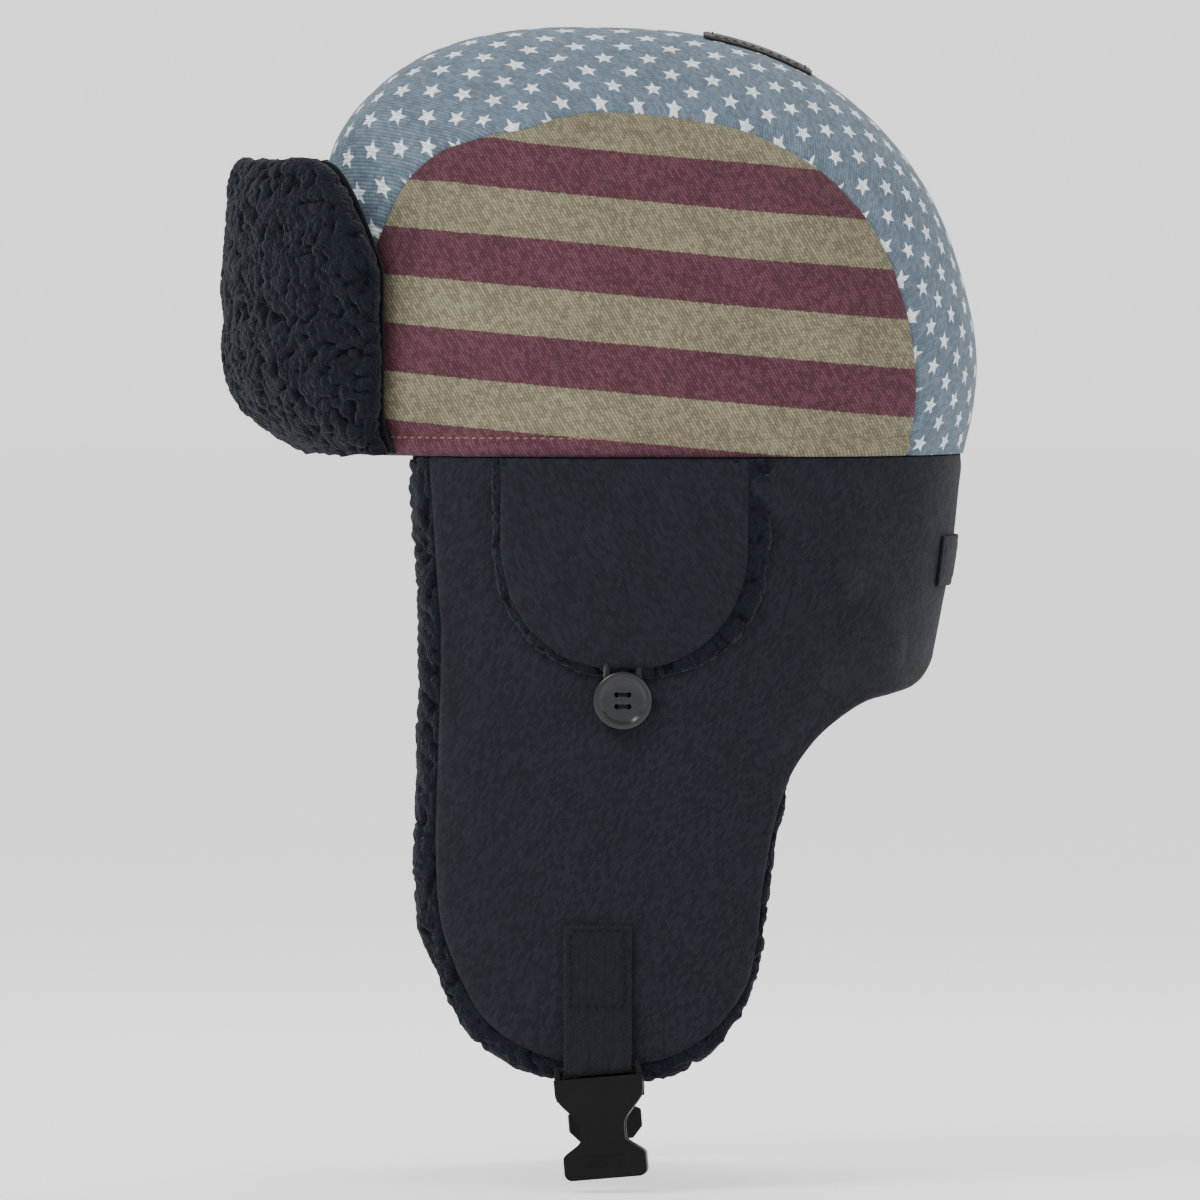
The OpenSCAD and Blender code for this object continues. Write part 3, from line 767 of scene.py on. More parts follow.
def grain_group():
    """Pores and fine scratches, for moulded plastic and leather."""
    def build(w, i):
        scaled = w.scaled(i["Vector"], i["Scale"])
        pores = w.node("TexVoronoi", {"Vector": scaled, "Scale": 1.0}, feature="SMOOTH_F1").outputs[0]
        fine = w.noise(scaled, 2.3, 3.0)
        scuff = w.noise(w.stretched(i["Vector"], 420, 60, 160), 1.0, 4.0)
        return pores, fine, w.fade(scuff, 0.52, 0.72)
    return shader_group("Grain", {"Vector": None, "Scale": 900.0}, ("Pores", "Fine", "Scuff"), build)


def material(name, build, roughness=0.9, sheen=0.0, specular=0.3, coat=0.0):
    """A material: build(wires) gives the base colour, the height, its depth and the roughness."""
    m = bpy.data.materials.get(name)
    if m is None:
        m = bpy.data.materials.new(name)
        m.use_nodes = True
        w = Wires(m.node_tree)
        shader = m.node_tree.nodes["Principled BSDF"]
        base, height, depth, rough = build(w)
        w.put(shader.inputs["Base Color"], base)
        w.put(shader.inputs["Roughness"], roughness if rough is None else rough)
        bump = w.node("Bump", {"Height": height, "Distance": depth, "Strength": 1.0})
        w.put(shader.inputs["Normal"], bump.outputs[0])
        shader.inputs["Specular IOR Level"].default_value = specular
        shader.inputs["Sheen Weight"].default_value = sheen
        shader.inputs["Sheen Roughness"].default_value = 0.5
        shader.inputs["Coat Weight"].default_value = coat
        shader.inputs["Coat Roughness"].default_value = 0.08
    return m


def shades(value, *factors):
    return tuple([c * f for c in value] for f in factors)


def twill_paint(name, colour_of, strength=1.0, sheen=0.06):
    """Twill cloth: colour_of(wires, uv) gives its dyed colour."""
    sizes = bpy.context.scene.hat_sizes

    def build(w):
        uv = w.uv()
        height, fleck, worn = w.group(twill_group(), vector=uv, pitch=sizes.twill)
        dyed = colour_of(w, uv)
        # The colour follows the ribs' height and is darker in the grooves between them: painted shade.
        # The flecks and the worn noise are the yarn's own tone.
        ribs = w.fade(height, 0.1, 0.9, 1 - 0.40 * strength, 1 + 0.20 * strength)
        flecks = w.fade(fleck, 0.2, 0.8, 1 - 0.20 * strength, 1 + 0.28 * strength)
        wash = w.fade(worn, 0.3, 0.72, 1 - 0.09 * strength, 1 + 0.09 * strength)
        tone_and_groove_shade = w.times(w.times(ribs, flecks), wash)
        lit = w.scaled(dyed, tone_and_groove_shade)
        return lit, height, 0.00016, w.fade(fleck, 0.2, 0.8, 0.95, 0.8)
    return material(name, build, sheen=sheen, specular=0.18)


def navy_twill():
    c = bpy.context.scene.hat_colours
    return twill_paint("Navy twill", lambda w, uv: w.mix(
        w.noise(uv, 60.0, 3.0), *shades(c.navy, 0.94, 1.07)), 0.7, 0.03)


def star_twill():
    c, s = bpy.context.scene.hat_colours, bpy.context.scene.hat_sizes

    def dyed(w, uv):
        mask = w.group(star_group(), vector=uv, radius=s.star, row=s.star_row, step=s.star_step)[0]
        ground = w.mix(w.noise(uv, 90.0, 4.0), *shades(c.denim, 0.80, 1.22))
        return w.mix(mask, ground, c.print_white)
    return twill_paint("Starred denim twill", dyed, 0.72, 0.05)


def stripe_twill():
    c, s = bpy.context.scene.hat_colours, bpy.context.scene.hat_sizes

    def dyed(w, uv):
        mask = w.group(stripe_group(), vector=uv, pitch=s.stripe)[0]
        return w.mix(mask, c.khaki, c.maroon)
    return twill_paint("Striped twill", dyed, 1.0, 0.04)


def sherpa_paint():
    c = bpy.context.scene.hat_colours

    def build(w):
        spot = w.spot()
        fibre = w.node("TexVoronoi", {"Vector": spot, "Scale": 1050.0}).outputs[0]
        tuft = w.noise(spot, 820.0, 4.0)
        # Painted shade: the colour darkens where the "shade" attribute marks the curls' valleys, and on
        # the low parts of the tuft noise that also makes the bump.
        deep = w.node("Attribute", attribute_name="shade").outputs["Fac"]
        base = w.mix(w.noise(spot, 110.0, 3.0), *shades(c.sherpa, 0.75, 1.5))
        dark = w.times(w.fade(deep, 0.2, 0.95, 0.45, 1.15), w.fade(tuft, 0.3, 0.7, 0.75, 1.25))
        base = w.scaled(base, dark)
        height = w.add(w.times(tuft, 1.4), w.times(fibre, -0.6))
        return base, height, 0.0006, None
    return material("Sherpa fleece", build, 1.0, 0.08, 0.04)


def solid_paint(name, value, kind="cloth", **settings):
    """A plain-dyed yarn, thread, satin, leather or plastic with its own fine detail."""
    def build(w):
        spot = w.spot()
        if kind == "webbing":
            height, fleck = w.group(webbing_group(), vector=w.uv())
            base = w.mix(w.fade(fleck, 0.3, 0.7), *shades(value, 0.75, 1.35))
            # Darker where the herringbone's height is low, in the grooves between its ribs: painted
            # shade.
            low = w.mix(1.0, base, (0.6, 0.6, 0.6), "MULTIPLY")
            return w.mix(height, low, base), height, 0.0003, None
        if kind in ("plastic", "leather"):
            pores, fine, scuff = w.group(grain_group(), vector=spot,
                                         scale=1400.0 if kind == "plastic" else 1100.0)
            depth = 0.00003 if kind == "plastic" else 0.00022
            base = w.mix(scuff, *shades(value, 0.95, 1.35))
            height = w.add(pores, w.times(fine, 0.5))
            low = settings.get("roughness", 0.4)
            return base, height, depth, w.fade(scuff, 0.0, 1.0, low, low + 0.16)
        uv = w.uv()
        wave = w.node("TexWave", {"Vector": w.stretched(uv, 900, 1900, 0), "Scale": 0.5,
                                  "Distortion": 1.5, "Detail": 2.0},
                      bands_direction="DIAGONAL").outputs[1]
        tone = w.noise(spot, 500.0, 3.0)
        depth = 0.00012 if kind == "cloth" else 0.00006
        # The weave's wave sets both the bump and the colour, so the colour is darker in the weave's
        # grooves: painted shade, mixed with the random tone.
        return w.mix(w.times(wave, tone), *shades(value, 0.8, 1.45)), wave, depth, None
    return material(name, build, **settings)


def dark_thread():
    return solid_paint("Dark thread", bpy.context.scene.hat_colours.dark_thread, "thread",
                       roughness=0.8, specular=0.1)


def padding_paint():
    c = bpy.context.scene.hat_colours

    def build(w):
        spot = w.spot()
        strand = w.noise(w.stretched(spot, 300, 900, 500), 1.0, 5.0)
        # One strand noise sets both the bump and the colour, so the batting is darker where its strands
        # dip: painted shade.
        return w.mix(strand, *shades(c.batting, 0.8, 1.05)), strand, 0.001, None
    return material("Batting", build, 1.0, 0.2, 0.1)


# ---- Crown ----
# Creases as (from, to, width, height): a hollow has a height below none
CROWN_FOLDS = (
    ((46, -56, 104), (34, -26, 134), 4.5, 1.9),
    ((43, -64, 103), (28, -38, 134), 4.5, -1.7),
    ((52, -72, 92), (51, -34, 119), 6.0, 1.2),
    ((54, 40, 104), (44, 78, 82), 6.0, -0.8),
    ((30, 78, 92), (48, 92, 40), 9.0, 1.0),
)
HEM_STITCH = 6.4  # the topstitch's height above the seam
BAND_DEPTH = 7.3  # from the crown's outer face to the sweatband


def seam_dip(gap):
    """How far cloth turns in near a seam that lies gap millimetres away."""
    return 1.7 * turned(gap, 3.2)


def crown_relief(p, gap):
    """How deep the crown's face lies: seams, puckers beside them and a soft crease or two."""
    pucker = ripple(p * (1, 0.55, 1), 8.0, 5) * np.exp(-gap / 9.0)
    wide = ripple(p, 34.0, 9)
    x, y, z = np.moveaxis(p, -1, 0)
    brow = 7.5 * ridge(z - 95, 33) * smooth((-y - 45) / 40) * smooth((46 - np.abs(x)) / 26)
    return seam_dip(gap) - 0.6 * pucker - 0.7 * wide - creases(p, CROWN_FOLDS) - brow


def centre_grid(h, d, t, cols=72, rows=200, relief=crown_relief):
    s = np.linspace(0, 180, rows + 1)[:, None]
    half = h.strip_half(s)
    x = np.linspace(-1, 1, cols + 1)[None, :] * (half - 0.1)
    x, s = np.broadcast_arrays(x, s)
    p = h.centre(x, s, d)
    depth = relief(p, half - np.abs(x))
    along = travel(h.centre(40, s[:, 0], 0))[:, None]
    steps = np.linalg.norm(np.diff(p, axis=1), axis=-1)
    reach = np.cumsum(np.pad(steps, ((0, 0), (1, 0))), axis=1)
    reach = -np.abs(reach - reach[:, cols // 2: cols // 2 + 1])
    return h.centre(x, s, d + depth), h.centre(x, s, d + depth + t), along, reach


def side_grid(h, d, t, cols=110, rows=84, relief=crown_relief):
    v, up = spread(cols, rows)
    p = h.side(v, up, d)
    rim = np.concatenate([p[:, 0], p[-1], p[::-1, -1]])
    depth = relief(p, away(p, rim))
    rise = travel(h.side(0, up[:, 0], 0))[:, None]
    height = mix(p[..., 2], rise, 0.2)
    return h.side(v, up, d + depth), h.side(v, up, d + depth + t), p[..., 1], height


def hem_relief(p, gap):
    """The striped panel: a turned hem under its topstitch, then the crown's own relief."""
    z = p[..., 2]
    groove = 0.45 * ridge(z - HEM_STITCH, 0.8)
    roll = -0.8 * smooth((6.2 - z) / 2.0) + 1.2 * turned(z, 1.8)
    ease = 0.35 * ripple(p * (1, 1, 0.4), 6.5, 15) * np.exp(-np.abs(z - 6) / 5)
    return crown_relief(p, gap) + groove + roll + ease


def make_crown_cloth(h):
    outer, inner, u, v = centre_grid(h, 0, h.cloth)
    star = piece("star_panel", [cloth_part(outer, inner, u, v)], 1, star_twill())
    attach(star, "crown")
    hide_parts("crown_centre_panel")
    thread = solid_paint("Brown topstitch thread", bpy.context.scene.hat_colours.topstitch,
                         "thread", roughness=0.6, sheen=0.2)
    for name, side in SIDES:
        outer, inner, u, v = side_grid(h, 0, h.cloth, relief=hem_relief)
        cloth = piece(f"{name}_striped_panel", [cloth_part(outer, inner, u, v)], side,
                      stripe_twill())
        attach(cloth, "crown")
        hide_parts(f"crown_{name}_panel")
        y = np.linspace(-0.985, 0.985, 500)
        t = 2 / np.pi * np.arcsin(HEM_STITCH / (0.997 * h.crown_height * 0.8136))
        line, facing = face_line(
            lambda a, b, d: h.side(a, b, d + hem_relief(h.side(a, b, 0), 50.0)), y, t)
        stitch = piece(f"{name}_hem_stitch", stitches(line, facing, 2.2, 0.9, 0.34), side, thread)
        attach(stitch, "crown")


def make_crown_inside(h):
    c = bpy.context.scene.hat_colours

    def puffed(p, gap):
        return 0.35 * ripple(p, 9.0, 31) + 0.2 * ripple(p, 4.0, 33)

    def quilted(p, gap):
        a = np.abs(np.mod((p[..., 1] + p[..., 2]) / 42, 1) - 0.5) * 42
        b = np.abs(np.mod((p[..., 1] - p[..., 2]) / 42, 1) - 0.5) * 42
        line = np.minimum(21 - a, 21 - b)
        return 0.9 * smooth(line / 7) - 0.25 + 0.1 * ripple(p, 5.0, 35)

    def layered(name, node, d, t, relief, paint):
        parts = []
        outer, inner, u, v = centre_grid(h, d, t, 48, 110, relief)
        parts.append(cloth_part(outer, inner, u, v))
        outer, inner, u, v = side_grid(h, d, t, 64, 48, relief)
        for side in (1, -1):
            parts.append(cloth_part(outer * (side, 1, 1), inner * (side, 1, 1), u, v))
        obj = piece(name, parts, 1, paint)
        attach(obj, "crown")
        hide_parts(node)
        return obj

    padding = layered("crown_padding", "crown_batting", 1.9, 2.8, puffed, padding_paint())
    satin = solid_paint("Quilted satin", c.lining, "satin", roughness=0.42, sheen=0.3)
    lining = layered("quilted_lining", "crown_lining", 5.5, 0.7, quilted, satin)
    turn = np.radians(np.linspace(449.4, 90.6, 241))[None, :]
    z = np.linspace(1, 28, 15)[:, None]
    roll = 0.5 * (smooth((4 - z) / 3) + smooth((z - 25) / 3))
    outer = h.band(turn, z, BAND_DEPTH + 0.1)
    inner = h.band(turn, z, BAND_DEPTH + 1.2 + 0.4 * roll + 0.05 * np.sin(turn * 90))
    band = piece("sweatband_cotton", [cloth_part(outer, inner, turn * 95, z)], 1,
                 twill_paint("Sweatband cotton", lambda w, uv: w.mix(
                     w.noise(uv, 80.0, 3.0), *shades(c.navy, 0.5, 0.8)), 0.6))
    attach(band, "crown")
    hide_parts("sweatband")
    parts = []
    for level in (3.0, 26.0):
        a = np.radians(np.linspace(448, 92, 900))
        line, facing = face_line(lambda t, q, d: h.band(t, q, BAND_DEPTH + 1.45 - d), a, level)
        parts += stitches(line, facing, 2.4, 1.4, 0.25)
    stitch = piece("sweatband_stitch", parts, 1, dark_thread())
    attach(stitch, "crown")
    turn = np.radians(np.linspace(98, 82, 41))[None, :]
    z = np.linspace(3, 28, 25)[:, None]
    bow = BAND_DEPTH + 2.0 + 0.25 * np.sin((z - 3) / 25 * np.pi)
    part = cloth_part(h.band(turn, z, bow), h.band(turn, z, bow + 0.4), turn * 95, z)
    woven = solid_paint("Woven label", c.label, "cloth", roughness=0.6, sheen=0.2)
    label = piece("blank_label", [part], 1, woven)
    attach(label, "crown")
    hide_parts("care_label")


def make_patch(h):
    half, s0, s1, lift, thick = 13.0, 101.0, 117.0, 0.3, 1.1
    u = np.linspace(-1, 1, 61)[None, :]
    v = np.linspace(-1, 1, 57)[:, None]
    corner = power(np.abs(u), 9) * power(np.abs(v), 9)
    x = u * half * (1 - 0.05 * corner)
    s = mix(s0, s1, (v * (1 - 0.05 * corner) + 1) / 2)
    edge = np.minimum((1 - np.abs(u)) * half, (1 - np.abs(v)) * 20)
    worn = 0.55 * (1 - smooth(edge / 1.6)) + 0.2 * ridge(edge - 3.0, 0.7)
    outer = h.centre(x, s, -lift - thick + worn)
    inner = h.centre(x, s, -lift)
    paint = solid_paint("Dark leather", bpy.context.scene.hat_colours.leather, "leather",
                        roughness=0.6, specular=0.2)
    patch = piece("leather_patch", [cloth_part(outer, inner, x, s)], 1, paint)
    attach(patch, "crown")
    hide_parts("crown_patch")
    inset = 0.85
    n = np.linspace(-inset, inset, 120)
    parts = []
    for a, b in ((n, -inset), (inset, n), (n[::-1], inset), (-inset, n[::-1])):
        line, facing = face_line(
            lambda p, q, d: h.centre(p * half, mix(s0, s1, (q + 1) / 2), d - lift - thick + 0.15), a, b)
        parts += stitches(line, facing, 2.2, 1.0, 0.3)
    stitch = piece("patch_stitch", parts, 1, dark_thread())
    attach(stitch, "crown")


# ---- Flaps: one skirt of cloth from the centre back, round the ear, to the flap's front ----
# Its edges as (along the seam from the centre back, height): the cloth's, and the longer sherpa's
LOW = [(0, -70.5), (14, -73.5), (32, -78.5), (54, -81.2), (70, -83.5), (84, -89.5), (95, -97.5),
       (104, -109), (110, -126), (114, -146), (116, -163), (120, -179), (129, -192), (142, -201),
       (158, -205), (176, -205), (196, -199), (210, -189), (219, -175)]
FRONT = [(231, -0.4), (228, -35), (226, -65), (227, -100), (228, -132), (226, -157), (219, -175)]
FUR_LOW = [(0, -68.5), (14, -71.5), (32, -76.5), (54, -79.2), (70, -81.5), (84, -88), (94, -96),
           (102.5, -109), (107.5, -126), (111.5, -146), (113.5, -163), (118, -182), (127, -197),
           (142, -207.5), (158, -210.5), (176, -210.5), (198, -205.5), (214, -196), (225, -180)]
FUR_FRONT = [(239.5, -0.8), (237, -35), (235, -65), (236, -100), (237, -132), (235, -160), (225, -180)]


FLAP_FOLDS = (
    ((79, 34, -8), (66, 68, -46), 6.0, 3.6),
    ((80, 33, -20), (68, 64, -58), 6.5, -2.6),
    ((82, 38, -30), (74, 58, -78), 9.0, 2.2),
    ((86, 26, -84), (84, 46, -98), 8.0, 2.2),
    ((70, 62, -24), (44, 90, -68), 9.0, 2.0),
    ((60, 70, -40), (30, 98, -74), 8.0, -1.6),
    ((88, -62, -40), (92, -40, -150), 12.0, -1.0),
)


def skirt_edges(low, front, cols, rows):
    low, front = curve(low, cols), curve(front, rows)
    top = np.stack([np.linspace(0, front[0, 0], cols), np.full(cols, front[0, 1])], 1)
    first = np.stack([np.zeros(rows), np.linspace(front[0, 1], low[0, 1], rows)], 1)
    return top, low, first, front


def follow(obj):
    """Bakes a piece's placement into its mesh and reads its points in millimetres."""
    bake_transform(obj)
    co = np.empty(len(obj.data.vertices) * 3, np.float32)
    obj.data.vertices.foreach_get("co", co)
    co = co.reshape(-1, 3) / MM


def skirt_folds(p):
    """Soft folds in the flaps' cloth, as a height."""
    return creases(p, FLAP_FOLDS) + 1.1 * ripple(p, 42.0, 41) + 0.35 * ripple(p, 15.0, 43)


def make_flap_cloth(h):
    top, low, first, last = skirt_edges(LOW, FRONT, 190, 110)
    grid = between_edges(top, low, first, last)
    s, z = grid[..., 0], grid[..., 1]
    rim = away(grid, np.concatenate([low, last[::-1]]))
    roll = 1.5 * turned(rim, 3.0)
    join = 0.8 * ridge(s, 1.6)
    under = 0.5 * ridge(z + 0.4, 3.0)
    p = h.skirt(s, z, 0)
    fade = smooth(-z / 12) * (0.35 + 0.65 * smooth(rim / 8))
    bump = skirt_folds(p) * fade
    lay = roll + join + under - np.maximum(bump, -0.45)
    outer, inner = h.skirt(s, z, lay), h.skirt(s, z, lay + h.cloth)
    for name, side in SIDES:
        cloth = piece(f"{name}_flap_cloth", [cloth_part(outer, inner, s, z)], side, navy_twill())
        follow(cloth)
        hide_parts(f"{name}_flap_shell", "neck_shell")
    u = np.linspace(-1, 1, 61)[None, :]
    v = np.linspace(0, 1, 27)[:, None]
    turn, z = np.radians(90 + 20 * u), mix(-28.0, -45.0, v)
    edge = np.minimum((1 - np.abs(u)) * 28, np.minimum(v, 1 - v) * 17)
    d = 0.25 * ridge(edge - 2.2, 0.5) - 0.3 * smooth(edge / 3)
    part = cloth_part(h.neck(turn, z, d - 1.3), h.neck(turn, z, -0.3), turn * 100, z)
    tab = piece("neck_tab_cloth", [part], 1, navy_twill())
    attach(tab, "crown")
    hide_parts("neck_tab")


def make_flap_sherpa(h):
    top, low, first, last = skirt_edges(FUR_LOW, FUR_FRONT, 256, 188)
    grid = between_edges(top, low, first, last)
    s, z = grid[..., 0], grid[..., 1]
    c_top, c_low, c_first, c_last = skirt_edges(LOW, FRONT, 90, 60)
    loop = np.concatenate([c_top, c_last, c_low[::-1], c_first[::-1]])
    rim = away(grid, np.concatenate([low, last[::-1]]))
    cover = away(grid, np.concatenate([c_low, c_last[::-1]])) * np.where(within(grid, loop), -1, 1)
    bare = smooth((cover + 2.2) / 3.5)
    plump = turned(rim, 5.5)
    outer = h.skirt(s, z, 2.7 + 1.6 * plump - 1.2 * bare * (1 - plump))
    inner = h.skirt(s, z, 1.8 + h.fleece - 4.2 * plump - 0.8)
    for name, side in SIDES:
        fur = piece(f"{name}_flap_sherpa", [sherpa_part(outer, inner, h, 0.06 + 0.94 * bare, 2.1)],
                    side, sherpa_paint())
        follow(fur)
        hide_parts(f"{name}_flap_fleece", "neck_fleece")


# ---- Visor ----
VISOR_HALF, VISOR_RISE = 118, 96  # half its cloth's width and its height, laid flat


def make_visor(h):
    def fold(obj):
        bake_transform(obj)

    v, up = spread(260, 150)
    rim = np.minimum((1 - np.abs(v)) * VISOR_HALF, (1 - up) * VISOR_RISE)
    plump = turned(rim, 9.0)
    foot = smooth((6 - up * VISOR_RISE) / 6)
    outer = h.visor(v, up, 0.6 + 3.6 * plump + foot)
    inner = h.visor(v, up, h.fleece - 3.2 * plump)
    part = sherpa_part(inner, outer, h, 0.1 + 0.9 * (1 - smooth((rim - 1) / 4)), 2.1)
    fur = piece("visor_fur", [part], 1, sherpa_paint())
    fold(fur)
    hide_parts("visor_fleece")
    v = 0.94 * np.linspace(-1, 1, 81)[None, :]
    up = 0.95 * np.linspace(0, 1, 45)[:, None]
    outer, inner = h.visor(v, up, h.fleece + 0.3), h.visor(v, up, h.fleece + 1.1)
    wave = 0.06 * ripple(outer, 6.0, 51)
    part = cloth_part(outer + wave[..., None] * (0, 1, 0), inner, v * VISOR_HALF, up * VISOR_RISE)
    felt = solid_paint("Pressed felt", bpy.context.scene.hat_colours.sherpa, "cloth",
                       roughness=0.95, sheen=0.1)
    stiff = piece("visor_stiffener", [part], 1, felt)
    fold(stiff)
    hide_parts("visor_interfacing")
    v, up = spread(150, 80)
    rim = np.minimum((1 - np.abs(v)) * VISOR_HALF, (1 - up) * VISOR_RISE)
    roll = turned(rim, 3.0)
    groove = 0.3 * ridge(rim - 5.0, 0.7)
    at = h.visor(v, up, 10.9)
    ease = 0.22 * ripple(at, 11.0, 53) * smooth(rim / 6)
    back = h.fleece + h.cloth + 1.4
    part = cloth_part(h.visor(v, up, back - 1.2 - roll), h.visor(v, up, back - roll - groove + ease),
                      v * VISOR_HALF, up * VISOR_RISE)
    cloth = piece("visor_back_cloth", [part], 1, navy_twill())
    fold(cloth)
    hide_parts("visor_shell")
    n, corners = np.linspace(0, 1, 400), [0, 0.3, 0.7, 1]
    path_v = np.interp(n, corners, [-0.955, -0.955, 0.955, 0.955])
    path_t = np.interp(n, corners, [0.06, 0.948, 0.948, 0.06])
    line, facing = face_line(lambda a, b, d: h.visor(a, b, back - 0.15 - d), path_v, path_t)
    thread = dark_thread()
    stitch = piece("visor_stitch", stitches(line, facing, 2.3, 1.0, 0.3), 1, thread)
    fold(stitch)


# ---- Ear tabs, their loops and buttons ----
def make_ear_tabs(h):
    u, t = spread(100, 89)
    top = -h.SEAM - 2.4 - h.LAYER
    at = h.tab(u, t, top)
    rim = away(at, np.concatenate([at[:, 0], at[-1], at[::-1, -1]]))
    roll = 1.7 * turned(rim, 3.2)
    belly = 0.9 * smooth(rim / 26) + 0.35 * ripple(at, 24.0, 61) * smooth(rim / 8)
    outer = h.tab(u, t, top - h.cloth + roll - belly)
    inner = h.tab(u, t, top + roll - belly * 0.8)
    fur_u, fur_t = spread(150, 129)
    grown, longer = 2.6, 5.0
    spot = h.tab(fur_u, fur_t, top, grown, longer)
    edge = away(spot, np.concatenate([spot[:, 0], spot[-1], spot[::-1, -1]]))
    bare = 1 - smooth((edge - 4.5) / 3.5)
    plump = turned(edge, 2.4)
    fur_out = h.tab(fur_u, fur_t, -h.SEAM - 2.3 + 1.1 * plump, grown, longer)
    fur_in = h.tab(fur_u, fur_t, -h.SEAM - 0.3, grown, longer)
    for name, side in SIDES:
        cloth = piece(f"{name}_tab_cloth", [cloth_part(outer, inner, at[..., 1], at[..., 2])], side,
                      navy_twill())
        pile = piece(f"{name}_tab_fur", [sherpa_part(fur_out, fur_in, h, 0.08 + 0.92 * bare, 1.3, 2.8)],
                     side, sherpa_paint())
        for obj in (cloth, pile):
            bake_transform(obj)
        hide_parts(f"{name}_tab_shell")
        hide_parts(f"{name}_tab_pile")


def button_place(h, points):
    """Points of the button, its axis along x from its back face, as points of the hat."""
    cloth = h.flap_x(h.button_y, h.button_z - h.button_diameter / 2, 0)
    back = cloth + h.SEAM + h.cord_diameter + h.LAYER
    return np.asarray(points, float) + (back, h.button_y, h.button_z)


def make_loops(h):
    cord = solid_paint("Elastic cord", bpy.context.scene.hat_colours.dark_thread, "thread",
                       roughness=0.75, sheen=0.3)
    r, x = 5.5, -h.LAYER - h.cord_diameter / 2
    leg = -h.button_z - h.tab_drop - 0.2 + 2.5
    a = np.radians(np.linspace(180, 360, 41))
    arc = stack(x, r * np.cos(a), r * np.sin(a))
    up = np.linspace(leg, 0.3, 18)[:, None]
    line = np.vstack([up * (0, 0, 1) + (x, -r, 0), arc, up[::-1] * (0, 0, 1) + (x, r, 0)])
    line = evenly(line, 110)
    knit = h.cord_diameter / 2 * (1 + 0.05 * np.sin(np.arange(110) * 1.9))
    part = tube(button_place(h, line), knit, 14)
    for name, side in SIDES:
        loop = piece(f"{name}_elastic_loop", [part], side, cord)
        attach(loop, f"{name}_tab")
        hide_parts(f"{name}_tab_loop")


def lathe(profile, around=72):
    """A solid turned about x from (radius, x) points, closed on its axis."""
    r, x = np.array(profile).T
    a = np.linspace(0, 2 * np.pi, around, endpoint=False)[None, :]
    ring = stack(x[:, None], r[:, None] * np.cos(a), r[:, None] * np.sin(a))
    bm = bmesh.new()
    rows = [[bm.verts.new(q) for q in row] for row in ring[1:-1]]
    tips = [bm.verts.new((x[0], 0, 0)), bm.verts.new((x[-1], 0, 0))]
    for low, high in zip(rows[:-1], rows[1:]):
        for i in range(around):
            j = (i + 1) % around
            bm.faces.new((low[i], low[j], high[j], high[i]))
    for row, tip in ((rows[0], tips[0]), (rows[-1], tips[1])):
        for i in range(around):
            bm.faces.new((tip, row[(i + 1) % around], row[i]))
    bmesh.ops.recalc_face_normals(bm, faces=bm.faces)
    return bm


def from_bmesh(name, bm, place, side, paint, cutters, bevel, segments=3):
    """An object from a bmesh in millimetres, cut by others and then bevelled."""
    objects = []
    for index, b in enumerate([bm, *cutters]):
        mesh = bpy.data.meshes.new(f"{name}_{index}")
        b.to_mesh(mesh)
        b.free()
        obj = bpy.data.objects.new(f"{name}_{index}", mesh)
        bpy.context.scene.collection.objects.link(obj)
        objects.append(obj)
    main = objects[0]
    for cutter in objects[1:]:
        cut = main.modifiers.new("Cut", "BOOLEAN")
        cut.operation, cut.solver, cut.object = "DIFFERENCE", "EXACT", cutter
    edge = main.modifiers.new("Bevel", "BEVEL")
    edge.width, edge.segments = bevel, segments
    edge.limit_method, edge.angle_limit = "ANGLE", math.radians(32)
    edge.use_clamp_overlap = True
    depsgraph = bpy.context.evaluated_depsgraph_get()
    mesh = bpy.data.meshes.new_from_object(main.evaluated_get(depsgraph))
    for obj in objects:
        bpy.data.meshes.remove(obj.data)
    co = np.empty(len(mesh.vertices) * 3, np.float32)
    mesh.vertices.foreach_get("co", co)
    p = place(co.reshape(-1, 3).astype(float))
    p[:, 0] *= side
    mesh.vertices.foreach_set("co", (p * MM).astype(np.float32).ravel())
    if side < 0:
        mesh.flip_normals()
    mesh.name = name
    mesh.attributes.new("shade", "FLOAT", "POINT").data.foreach_set(
        "value", np.ones(len(p), np.float32))
    mesh.shade_smooth()
    mesh.set_sharp_from_angle(angle=SHARP)
    return placed(name, mesh, paint)


def cylinder(r, x0, x1, y, z, around=24):
    bm = bmesh.new()
    a = np.linspace(0, 2 * np.pi, around, endpoint=False)
    ends = [[bm.verts.new((x, y + r * math.cos(t), z + r * math.sin(t))) for t in a] for x in (x0, x1)]
    for i in range(around):
        j = (i + 1) % around
        bm.faces.new((ends[0][i], ends[0][j], ends[1][j], ends[1][i]))
    bm.faces.new(ends[0][::-1])
    bm.faces.new(ends[1])
    bmesh.ops.recalc_face_normals(bm, faces=bm.faces)
    return bm


